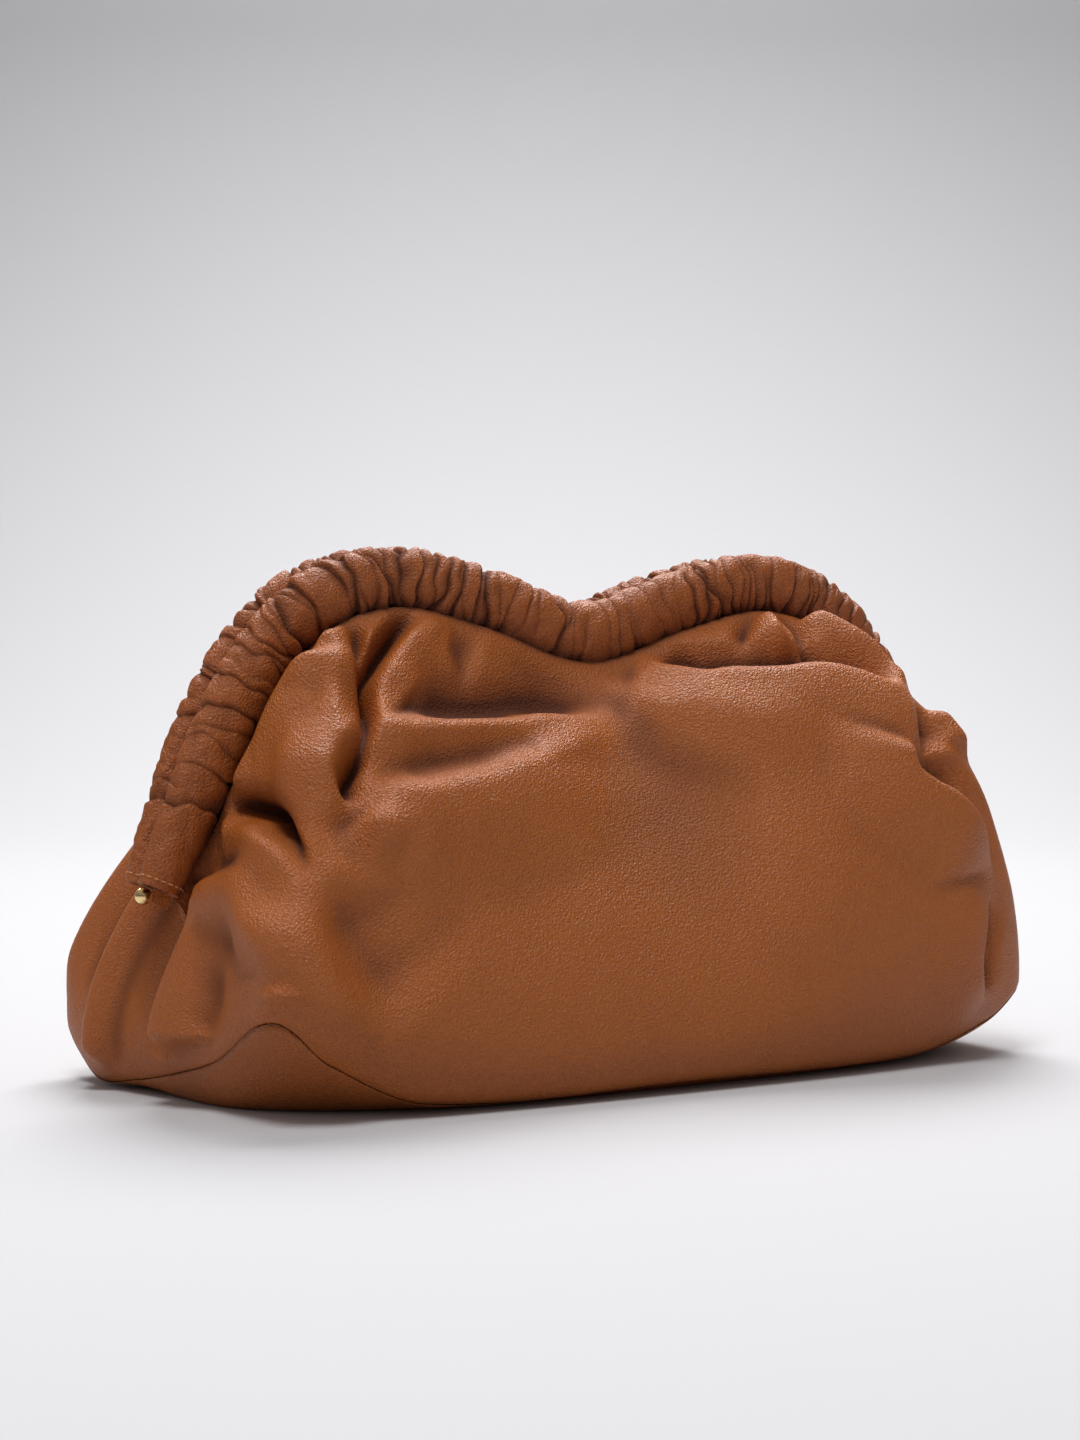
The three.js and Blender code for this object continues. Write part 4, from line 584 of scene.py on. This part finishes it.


def build_wall(wall, name, columns, rows):
    g = wall_grid(wall, columns, rows)
    u = np.linspace(-1, 1, columns)
    out = seam_at(wall, u)[1]
    # the lowest rows draw in toward the base seam and turn inside it
    near = np.linalg.norm(g - g[:1], axis=-1)
    g -= out[None] * (SEAM_DRAW * np.clip(1 - near / SEAM_DRAW_OVER, 0, 1) ** 2)[..., None]
    low = g[:1] - out[None] * SEAM_TURN + [0, 0, SEAM_TURN_RISE]
    g = np.concatenate([low, g])
    n = grid_normals(g)
    # painted shade: valleys are darkened by how far they lie below their surroundings, finely and broadly
    painted_shade = np.clip(hollowness(g, n, FINE_SPREAD), 0, DEEPEST)
    painted_shade += WIDE_SHARE * np.clip(wide_hollowness(g, n, WIDE_SKIP, WIDE_SPREAD), 0, DEEPEST)
    # a painted shade line where the wall goes in under its sleeve
    painted_shade += EDGE_SHADE * np.exp(-np.linalg.norm(g - g[-1:], axis=-1) / EDGE_FADE)
    if wall["side"] < 0:
        g = g * [1, -1, 1]
    add_mesh(name, g, grid_faces(rows + 1, columns, wall["side"] < 0), leather,
             [name.replace("soft_", "")], painted_shade)


def ripple(x, y, seed, count, low, high):
    """Seeded gentle undulation of two coordinates in mm, between about -1 and 1."""
    rng = np.random.default_rng(seed)
    total = 0
    for _ in range(count):
        turn, size, phase = rng.uniform(0, math.tau), rng.uniform(low, high), rng.uniform(0, math.tau)
        total = total + np.sin((x * math.cos(turn) + y * math.sin(turn)) * math.tau / size + phase)
    return total / math.sqrt(count)


# Spacing of the gathers along a sleeve: share of its length, mm between valleys, how deep they are
GATHER_STEP = [
    (0.00, 14, 0.6), (0.08, 11, 0.6), (0.16, 7.5, 0.8), (0.24, 4.6, 1.1), (0.36, 4.2, 1.1), (0.46, 5.6, 0.8),
    (0.52, 6, 0.8), (0.60, 5, 0.9), (0.70, 4.4, 1.1), (0.80, 5.6, 1.0), (0.90, 10, 0.7), (1.00, 14, 0.6)]
PLAIN_END = 31.0        # smooth stretch between the last gather and the hem
# Ranges that a gather is drawn from: its steep and its easy side, how it swings once and twice round the
# sleeve and how deep it goes, in mm, the part of its depth that may fade, and how its spacing scatters
STEEP, EASY, SWING, SWING_TWICE = (0.35, 0.7), (1.0, 2.4), (0.5, 5.0), (0.2, 1.4)
DEPTH, FADE, SCATTER = (1.0, 3.4), (0.1, 1.0), (0.5, 1.5)
SWING_LEAST = 0.6       # part of its swing that a shallow gather keeps
# The valleys that end the plain stretches: two swings with their phases, depth, steep and easy side, fade
FIRST_SWING, LAST_SWING = (1.2, 0.6, 0.5, 2.0), (1.2, 2.2, 0.5, 2.0)
HEM_DEPTH, HEM_STEEP, HEM_EASY, HEM_FADE = 1.7, 0.5, 2.6, 0.05
AFTER_FIRST, BEFORE_LAST = 5, 4         # mm that other gathers keep from them


def gathers(seed, length, packed):
    """Valleys of the ruching: place, two swings with their phases, depth, two widths, fade and its phase."""
    rng = np.random.default_rng(seed)
    # the first and the last valley end the plain stretches, steep on their outer side
    rows = [(PLAIN_END, *FIRST_SWING, HEM_DEPTH, HEM_STEEP, HEM_EASY, HEM_FADE, 0)]
    s = PLAIN_END + AFTER_FIRST
    while s < length - PLAIN_END - BEFORE_LAST:
        step, deep = (float(read(GATHER_STEP, s / length, k)) for k in (1, 2))
        steep, easy = rng.uniform(*STEEP), rng.uniform(*EASY)
        if rng.random() < 0.5:
            steep, easy = easy, steep
        swing = rng.uniform(*SWING) * (SWING_LEAST + (1 - SWING_LEAST) * deep)
        rows.append((s, swing, rng.uniform(0, math.tau), rng.uniform(*SWING_TWICE), rng.uniform(0, math.tau),
                     deep * rng.uniform(*DEPTH), steep, easy, rng.uniform(*FADE), rng.uniform(0, math.tau)))
        s += step * packed * rng.uniform(*SCATTER)
    rows.append((length - PLAIN_END, *LAST_SWING, HEM_DEPTH, HEM_EASY, HEM_STEEP, HEM_FADE, 0))
    return rows


STITCH_INSET, STITCH_STEP, STITCH_LENGTH, STITCH_THICK = 2.9, 2.7, 2.1, 0.55
STITCH_LIFT = 0.2                       # part of its thickness by which a stitch stands proud
STITCH_ROUNDS, STITCH_SIDES, STITCH_POLE = 7, 8, 0.12


def add_stitches(name, tube, centre, along):
    """Short rounded stitches round both hems of a sleeve."""
    rows, columns = STITCH_ROUNDS, STITCH_SIDES
    t = np.linspace(STITCH_POLE, math.pi - STITCH_POLE, rows)[:, None]
    a = np.linspace(0, math.tau, columns, endpoint=False)[None]
    ball = np.stack([np.cos(t) + 0 * a, np.sin(t) * np.cos(a), np.sin(t) * np.sin(a)], -1).reshape(-1, 3)
    each = grid_faces(rows, columns, True, True)
    each += [list(range(columns)), list(range(len(ball) - 1, len(ball) - columns - 1, -1))]
    points, faces = [], []
    step = np.linalg.norm(centre[1:] - centre[:-1], axis=1).mean()
    for edge in (int(STITCH_INSET / step), len(tube) - 1 - int(STITCH_INSET / step)):
        ring = Line(np.vstack([tube[edge], tube[edge][:1]]))
        count = int(ring.length / STITCH_STEP)
        for k in range(count):
            spot, way = ring.at((k + 0.5) / count), ring.direction((k + 0.5) / count, 0.01)
            out = np.cross(way, along[edge])
            out *= np.sign(out @ (spot - centre[edge])) / np.linalg.norm(out)
            axes = np.stack([way * STITCH_LENGTH / 2, out * STITCH_THICK / 2,
                             np.cross(way, out) * STITCH_THICK / 2])
            faces += [[i + len(points) * len(ball) for i in face] for face in each]
            points.append(ball @ axes + spot + out * STITCH_THICK * STITCH_LIFT)
    add_mesh(name, np.concatenate(points), faces, thread)


SLEEVE_SECTIONS, SLEEVE_SIDES = 1500, 60
GIRTH = 10              # mm of girth per radian, near enough for the undulations
WANDER, UNDULATION = 0.9, 0.22          # mm that a valley strays and that the skin rises and falls
SHARED = 0.25           # part of the shallower of two crossing valleys that adds to the deeper
DEEPEST_GATHER = 3.6
CALM = 9                # mm at each hem over which the gathers fade
SWELL, SWELL_UNDER = 0.4, 2.2           # crests stand out by this where the skin sinks less than that
SIDE_SWELL, SIDE_SINK = 0.5, 0.8        # parts of swell and sinking that show across the sleeve
HEM_RINGS = [(0.94, 0.35), (0.80, 0.1), (0.74, -9)]     # share of the section, mm beyond the sleeve's end
# painted shade along the sleeves' meeting line and the wall's leaving line: strengths and width in radians,
# and the most painted shade in a gather
MEET_SHADE, LEAVE_SHADE, SHADE_ANGLE = 1.7, 1.9, 0.30
MOST_SHADED = 3


def build_sleeve(side, name, seed, packed):
    """A ruched tube round one frame bar, with turned hems and their stitches."""
    sides = SLEEVE_SIDES
    share = np.linspace(0, 1, SLEEVE_SECTIONS)
    u = 2 * share - 1
    p, inward = frame_at(u)
    height, depth = sleeve_size(u)
    a = (np.arange(sides) + 0.5) / sides * math.tau
    s = (share * FRAME_LINE.length)[:, None]
    girth = a[None] * GIRTH
    wander = WANDER * ripple(s, girth, seed + 9, count=7, low=9, high=30)
    sink = np.zeros((SLEEVE_SECTIONS, sides))
    for place, swing, phase, swing2, phase2, deep, left, right, fade, fade_phase in gathers(
            seed, FRAME_LINE.length, packed):
        d = s + wander - place - swing * np.cos(a - phase)[None] - swing2 * np.cos(2 * a - phase2)[None]
        mask = 1 - fade * ease(0.5 - 0.5 * np.cos(a - fade_phase))[None]
        one = deep * mask * np.exp(-np.abs(d) / np.where(d < 0, left, right))
        sink = np.maximum(sink, one) + SHARED * np.minimum(sink, one)
    sink = DEEPEST_GATHER * np.tanh(sink / DEEPEST_GATHER)
    sink = sink + UNDULATION * ripple(s, girth, seed + 5, count=9, low=4, high=16)
    calm = ease((np.minimum(s, FRAME_LINE.length - s)) / CALM)
    sink = sink * calm
    swell = SWELL * calm * ease(1 - sink / SWELL_UNDER)
    h, d = height[:, None] + swell - sink, depth[:, None] + swell * SIDE_SWELL - sink * SIDE_SINK
    ca, sa = np.cos(a)[None], np.sin(a)[None]
    x = p[:, :1] + inward[:, :1] * h * ca
    z = p[:, 1:] + inward[:, 1:] * h * ca
    y = side * (GAP / 2 + depth[:, None] + d * sa)
    tube = np.stack([x, y, z], -1)
    # hems: the leather turns in at both ends
    centre = np.stack([p[:, 0], side * (GAP / 2 + depth), p[:, 1]], -1)
    slope = FRAME_LINE.direction(share, FRAME_NEAR)
    along = np.stack([slope[:, 0], 0 * share, slope[:, 1]], -1)
    start, end = ([centre[k] + (tube[k] - centre[k]) * size + along[k] * way * beyond
                   for size, beyond in HEM_RINGS] for k, way in ((0, -1), (-1, 1)))
    g = np.concatenate([start[::-1], tube, end])
    # painted shade lines where the two sleeves meet, and where the wall leaves this one
    turn = a[None] + 0 * s
    meet = MEET_SHADE * np.exp(-((turn - 1.5 * math.pi) / SHADE_ANGLE) ** 2)
    meet += LEAVE_SHADE * np.exp(-((turn - LEAVE) / SHADE_ANGLE) ** 2)
    inside = np.zeros((len(HEM_RINGS), sides))
    # painted shade: darker in the gathers' valleys by how deep they sink, and along the two lines; none on
    # the turned-in hems
    painted_shade = np.concatenate([inside, np.clip(sink, 0, MOST_SHADED) + meet, inside])
    add_stitches(name.replace("soft_", "hem_stitches_"), tube, centre, along)
    add_mesh(name, g, grid_faces(len(g), sides, side < 0, True), leather_ruched,
             [name.replace("soft_", "")], painted_shade)


BASE_COLUMNS, BACK_COLUMNS = 420, 300   # points of the base's rim below the front and the back wall
FLAT_HALF_LENGTH, FLAT_FRONT, FLAT_BACK, FLAT_CURVE = 166, 71, 74, 2.4  # the oval that lies on the surface
SLOPE_RINGS, FLAT_RINGS = 22, 10
BASE_DRAW, BASE_DRAW_OVER, BASE_TURN, BASE_TURN_DROP = 0.6, 2.4, 2.2, 0.3       # as at a wall's seam
# an even painted shade over the whole base, which faces the floor
BASE_PAINTED_SHADE = 0.25


def build_base():
    """The base panel: boxed corners that rise from an oval on the surface to the seam."""
    rim, outs = [], []
    u_front, u_back = np.linspace(-1, 1, BASE_COLUMNS), np.linspace(1, -1, BACK_COLUMNS)[1:-1]
    for wall, u in ((FRONT, u_front), (BACK, u_back)):
        low, out = seam_at(wall, u)
        low[np.abs(u) == 1, 1] = 0
        low[:, 1] *= wall["side"]
        out[:, 1] *= wall["side"]
        rim.append(low - [0, 0, GAP])
        outs.append(out)
    rim, outs = np.concatenate(rim), np.concatenate(outs)
    half_y = np.where(rim[:, 1] > 0, FLAT_BACK, FLAT_FRONT)
    oval = (np.abs(rim[:, 0]) / FLAT_HALF_LENGTH) ** FLAT_CURVE + (np.abs(rim[:, 1]) / half_y) ** FLAT_CURVE
    flat = 1 - oval ** (-1 / FLAT_CURVE)
    rings = []
    for step in np.concatenate([np.linspace(0, 1, SLOPE_RINGS), 1 + np.linspace(0, 1, FLAT_RINGS)[1:-1]]):
        w = flat * step if step <= 1 else flat + (1 - flat) * (step - 1)
        ring = rim * (1 - w)[:, None]
        ring[:, 2] = rim[:, 2] * np.clip(1 - step, 0, 1) ** 2
        near = np.linalg.norm(rim - ring, axis=1)
        ring -= outs * (BASE_DRAW * np.clip(1 - near / BASE_DRAW_OVER, 0, 1) ** 2)[:, None]
        rings.append(ring)
    g = np.array([rings[0] - outs * BASE_TURN - [0, 0, BASE_TURN_DROP]] + rings)
    points = np.concatenate([g.reshape(-1, 3), [[0, 0, 0]]])
    faces = grid_faces(len(g), len(rim), True, True)
    faces += ring_fan((len(g) - 1) * len(rim), len(rim), len(points) - 1, True)
    add_mesh("soft_base_panel", points, faces, leather, ["base_panel"],
             np.full(len(points), BASE_PAINTED_SHADE))


KNOB_ROUNDS, KNOB_SIDES, KNOB_POLE = 49, 72, 0.02
SLIT_DEPTH, SLIT_WIDTH, SLIT_FROM, SLIT_FLOOR = 0.22, 0.09, 0.25, 0.8   # shares of the radius


def build_knob(sign, name, node):
    """Gold hinge head: a ball with a fine slit in its upper half."""
    p, inward = frame_at(np.array([sign * 1.0]))
    out = FRAME_LINE.direction(1.0 if sign > 0 else 0.0, FRAME_NEAR) * sign
    c = p[0] + out * (KNOB_RADIUS + 2 * GAP) - inward[0] * KNOB_OUTSET
    t = np.linspace(KNOB_POLE, math.pi - KNOB_POLE, KNOB_ROUNDS)[:, None]
    a = np.linspace(0, math.tau, KNOB_SIDES, endpoint=False)[None]
    x, y, z = np.sin(t) * np.cos(a), np.sin(t) * np.sin(a), np.cos(t) + 0 * a
    r = KNOB_RADIUS * (1 - SLIT_DEPTH * np.exp(-(y / SLIT_WIDTH) ** 2) * ease(z / SLIT_FROM))
    g = np.stack([c[0] + r * x, r * y, c[1] + r * z], -1).reshape(-1, 3)
    tips = [[c[0], 0, c[1] + KNOB_RADIUS * SLIT_FLOOR], [c[0], 0, c[1] - KNOB_RADIUS]]
    faces = grid_faces(KNOB_ROUNDS, KNOB_SIDES, True, True)
    faces += ring_fan(0, KNOB_SIDES, len(g))
    faces += [[k, j, tip] for j, k, tip in ring_fan(len(g) - KNOB_SIDES, KNOB_SIDES, len(g) + 1)]
    add_mesh(name, np.concatenate([g, tips]), faces, gold, [node])


PORE_SCALE, CREASE_SCALE, CLOUD_SCALE = 1150, 800, 26   # grain of the leather, per metre
GRAIN_DEPTH = 0.00065   # metres
DEEP_AT, DULL_AT, DULLER = 2.4, 2.0, 0.42       # painted shade amount at which the colour is fully dark and the roughness fully dull, and how dull
STEEL_SCALE, GOLD_SCALE, THREAD_SCALE, PLY_DEPTH = 240, 900, 2600, 0.0001


def material(name):
    m = bpy.data.materials.new(name)
    m.use_nodes = True
    return m, m.node_tree.nodes, m.node_tree.links, m.node_tree.nodes["Principled BSDF"]


def make_leather(name, light, mid, dark, grain):
    m, nodes, links, shader = material(name)
    place = nodes.new("ShaderNodeTexCoord")
    pores = nodes.new("ShaderNodeTexVoronoi")
    pores.feature, pores.inputs["Scale"].default_value = "SMOOTH_F1", PORE_SCALE
    pores.inputs["Smoothness"].default_value = 0.6
    creases = nodes.new("ShaderNodeTexNoise")
    creases.inputs["Scale"].default_value, creases.inputs["Detail"].default_value = CREASE_SCALE, 5
    creases.inputs["Distortion"].default_value = 1.4
    cloud = nodes.new("ShaderNodeTexNoise")
    cloud.inputs["Scale"].default_value, cloud.inputs["Detail"].default_value = CLOUD_SCALE, 6
    for t in (pores, creases, cloud):
        links.new(place.outputs["Object"], t.inputs["Vector"])
    # colour: cloudy tan, with painted shade that darkens it in the valleys
    tone = nodes.new("ShaderNodeMix")
    tone.data_type = "RGBA"
    tone.inputs[6].default_value, tone.inputs[7].default_value = mid, light
    ramp = nodes.new("ShaderNodeMapRange")
    ramp.inputs["From Min"].default_value, ramp.inputs["From Max"].default_value = 0.1, 0.9
    links.new(cloud.outputs["Fac"], ramp.inputs["Value"])
    links.new(ramp.outputs["Result"], tone.inputs[0])
    painted_shade = nodes.new("ShaderNodeAttribute")
    painted_shade.attribute_name = "painted_shade"
    deep = nodes.new("ShaderNodeMapRange")
    deep.inputs["From Min"].default_value, deep.inputs["From Max"].default_value = 0.0, DEEP_AT
    links.new(painted_shade.outputs["Fac"], deep.inputs["Value"])
    # painted shade: the colour mixes toward the dark one as the painted shade amount grows
    shade = nodes.new("ShaderNodeMix")
    shade.data_type = "RGBA"
    shade.inputs[7].default_value = dark
    links.new(deep.outputs["Result"], shade.inputs[0])
    links.new(tone.outputs[2], shade.inputs[6])
    links.new(shade.outputs[2], shader.inputs["Base Color"])
    rough = nodes.new("ShaderNodeMapRange")
    rough.inputs["To Min"].default_value, rough.inputs["To Max"].default_value = 0.36, 0.47
    links.new(cloud.outputs["Fac"], rough.inputs["Value"])
    # duller down in the valleys, where no polish reaches
    dull = nodes.new("ShaderNodeMapRange")
    dull.inputs["From Max"].default_value, dull.inputs["To Max"].default_value = DULL_AT, DULLER
    links.new(painted_shade.outputs["Fac"], dull.inputs["Value"])
    total = nodes.new("ShaderNodeMath")
    total.operation = "ADD"
    links.new(rough.outputs["Result"], total.inputs[0])
    links.new(dull.outputs["Result"], total.inputs[1])
    links.new(total.outputs[0], shader.inputs["Roughness"])
    add = nodes.new("ShaderNodeMath")
    add.operation = "ADD"
    links.new(pores.outputs["Distance"], add.inputs[0])
    links.new(creases.outputs["Fac"], add.inputs[1])
    bump = nodes.new("ShaderNodeBump")
    bump.inputs["Strength"].default_value, bump.inputs["Distance"].default_value = grain, GRAIN_DEPTH
    links.new(add.outputs[0], bump.inputs["Height"])
    links.new(bump.outputs["Normal"], shader.inputs["Normal"])
    shader.inputs["Specular IOR Level"].default_value = 0.48
    return m


def make_steel():
    m, nodes, links, shader = material("frame_steel")
    shader.inputs["Metallic"].default_value = 1
    place = nodes.new("ShaderNodeTexCoord")
    haze = nodes.new("ShaderNodeTexNoise")
    haze.inputs["Scale"].default_value, haze.inputs["Detail"].default_value = STEEL_SCALE, 4
    links.new(place.outputs["Object"], haze.inputs["Vector"])
    tone = nodes.new("ShaderNodeMix")
    tone.data_type = "RGBA"
    tone.inputs[6].default_value, tone.inputs[7].default_value = (0.36, 0.36, 0.37, 1), (0.50, 0.50, 0.51, 1)
    links.new(haze.outputs["Fac"], tone.inputs[0])
    links.new(tone.outputs[2], shader.inputs["Base Color"])
    rough = nodes.new("ShaderNodeMapRange")
    rough.inputs["To Min"].default_value, rough.inputs["To Max"].default_value = 0.28, 0.42
    links.new(haze.outputs["Fac"], rough.inputs["Value"])
    links.new(rough.outputs["Result"], shader.inputs["Roughness"])
    return m


def make_thread():
    m, nodes, links, shader = material("sewing_thread")
    place = nodes.new("ShaderNodeTexCoord")
    ply = nodes.new("ShaderNodeTexNoise")
    ply.inputs["Scale"].default_value = THREAD_SCALE
    links.new(place.outputs["Object"], ply.inputs["Vector"])
    tone = nodes.new("ShaderNodeMix")
    tone.data_type = "RGBA"
    tone.inputs[6].default_value, tone.inputs[7].default_value = (0.48, 0.20, 0.07, 1), (0.72, 0.36, 0.15, 1)
    links.new(ply.outputs["Fac"], tone.inputs[0])
    links.new(tone.outputs[2], shader.inputs["Base Color"])
    bump = nodes.new("ShaderNodeBump")
    bump.inputs["Strength"].default_value, bump.inputs["Distance"].default_value = 0.5, PLY_DEPTH
    links.new(ply.outputs["Fac"], bump.inputs["Height"])
    links.new(bump.outputs["Normal"], shader.inputs["Normal"])
    shader.inputs["Roughness"].default_value = 0.55
    return m


def make_gold():
    m, nodes, links, shader = material("pale_gold")
    shader.inputs["Metallic"].default_value = 1
    shader.inputs["Base Color"].default_value = (0.83, 0.62, 0.30, 1)
    haze = nodes.new("ShaderNodeTexNoise")
    haze.inputs["Scale"].default_value = GOLD_SCALE
    rough = nodes.new("ShaderNodeMapRange")
    rough.inputs["To Min"].default_value, rough.inputs["To Max"].default_value = 0.12, 0.26
    links.new(haze.outputs["Fac"], rough.inputs["Value"])
    links.new(rough.outputs["Result"], shader.inputs["Roughness"])
    return m


# the third colour of each leather is the painted shade in its valleys
leather = make_leather("tan_leather", (0.42, 0.110, 0.012, 1), (0.36, 0.087, 0.008, 1),
                       (0.10, 0.020, 0.002, 1), 0.9)
leather_ruched = make_leather("tan_leather_gathered", (0.37, 0.092, 0.010, 1), (0.31, 0.071, 0.006, 1),
                              (0.08, 0.015, 0.001, 1), 0.8)
gold, steel, thread = make_gold(), make_steel(), make_thread()

build_wall(FRONT, "soft_wall_front", columns=480, rows=200)
build_wall(BACK, "soft_wall_back", columns=340, rows=150)
build_base()
build_sleeve(-1, "soft_sleeve_front", seed=11, packed=1.0)
build_sleeve(1, "soft_sleeve_back", seed=23, packed=0.8)
build_knob(-1, "gold_hinge_head_left", "hinge_knob_left")
build_knob(1, "gold_hinge_head_right", "hinge_knob_right")
for node in ("end_tab_left", "end_tab_right", "frame_bar_front", "frame_bar_back"):
    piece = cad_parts[node]
    for slot in piece.material_slots:
        slot.material = leather if node.startswith("end") else steel

# Camera at the photograph's angle, in metres and in pixels of the photograph
AZIMUTH, DISTANCE, HEIGHT, FOCAL = math.radians(34), 1.10, 0.162, 2794
FRAME_PIXELS, AIM_ASIDE, AIM_DOWN, SENSOR = 1440, 32, 67.4, 36
YAW, PITCH = math.atan(AIM_ASIDE / FOCAL), math.atan(AIM_DOWN / FOCAL)
ahead = np.array([math.sin(AZIMUTH), math.cos(AZIMUTH), 0])
right = np.array([math.cos(AZIMUTH), -math.sin(AZIMUTH), 0])
level = ahead * math.cos(YAW) - right * math.sin(YAW)
right = right * math.cos(YAW) + ahead * math.sin(YAW)
looking = level * math.cos(PITCH) - np.array([0, 0, 1]) * math.sin(PITCH)
up = np.cross(right, looking)
camera_data = bpy.data.cameras.new("camera")
camera_data.sensor_width = SENSOR
camera_data.lens = SENSOR * FOCAL / FRAME_PIXELS
camera_data.sensor_fit = "AUTO"
camera = bpy.data.objects.new("camera", camera_data)
bpy.context.scene.collection.objects.link(camera)
at = np.array([-DISTANCE * math.sin(AZIMUTH), -DISTANCE * math.cos(AZIMUTH), HEIGHT]) + OFFSET
camera.matrix_world = Matrix([[right[k], up[k], -looking[k], at[k]] for k in range(3)] + [[0, 0, 0, 1]])
bpy.context.scene.camera = camera


# Floor that rises into a plain backdrop, behind the bag as the camera sees it, in metres
NEAR_EDGE, FLOOR_END, SWEEP, BACKDROP_HEIGHT, HALF_WIDTH = -3.0, 1.2, 1.2, 5.0, 4
SWEEP_STEPS, FLOOR_COLUMNS = 24, 9


def add_floor():
    depth = [(NEAR_EDGE, 0), (FLOOR_END, 0)]
    for t in np.linspace(0.1, math.pi / 2, SWEEP_STEPS):
        depth.append((FLOOR_END + SWEEP * math.sin(t), SWEEP - SWEEP * math.cos(t)))
    depth.append((FLOOR_END + SWEEP, BACKDROP_HEIGHT))
    points = []
    for d, z in depth:
        for s in np.linspace(-HALF_WIDTH, HALF_WIDTH, FLOOR_COLUMNS):
            xy = level[:2] * d + right[:2] * s
            points.append((xy[0], xy[1], z))
    mesh = bpy.data.meshes.new("studio_floor")
    mesh.from_pydata(points, [], grid_faces(len(depth), FLOOR_COLUMNS))
    mesh.polygons.foreach_set("use_smooth", np.ones(len(mesh.polygons), bool))
    floor = bpy.data.objects.new("studio_floor", mesh)
    bpy.context.scene.collection.objects.link(floor)
    m, nodes, links, shader = material("studio_paper")
    shader.inputs["Base Color"].default_value = (0.57, 0.568, 0.585, 1)
    shader.inputs["Roughness"].default_value = 0.75
    shader.inputs["Specular IOR Level"].default_value = 0.2
    mesh.materials.append(m)


def add_light(name, place, target, size, power):
    """A square lamp: metres and watts."""
    data = bpy.data.lights.new(name, "AREA")
    data.shape, data.size, data.energy = "SQUARE", size, power
    lamp = bpy.data.objects.new(name, data)
    lamp.location = place
    lamp.rotation_euler = (Vector(target) - Vector(place)).to_track_quat("-Z", "Y").to_euler()
    bpy.context.scene.collection.objects.link(lamp)


add_floor()
add_light("key", tuple(level * 1.05)[:2] + (1.75,), (0, 0, 0.05), size=1.1, power=46)
add_light("top_left", (-0.5, -0.42, 1.7), (0, 0, 0.12), size=0.5, power=16)
add_light("backdrop", tuple(level * 1.35)[:2] + (1.5,), tuple(level * 2.4)[:2] + (1.1,), size=1.0, power=7)
world = bpy.data.worlds.new("world")
bpy.context.scene.world = world
world.use_nodes = True
world.node_tree.nodes["Background"].inputs["Color"].default_value = (1.0, 0.985, 0.975, 1)
# brighter overhead than near the floor, like a room with a lit ceiling
sky = world.node_tree.nodes
aim, parts = sky.new("ShaderNodeTexCoord"), sky.new("ShaderNodeSeparateXYZ")
rise = sky.new("ShaderNodeMapRange")
rise.inputs["From Max"].default_value = 0.9
rise.inputs["To Min"].default_value, rise.inputs["To Max"].default_value = 0.10, 0.40
world.node_tree.links.new(aim.outputs["Generated"], parts.inputs["Vector"])
world.node_tree.links.new(parts.outputs["Z"], rise.inputs["Value"])
world.node_tree.links.new(rise.outputs["Result"], sky["Background"].inputs["Strength"])
bpy.context.scene.view_settings.view_transform = "Standard"
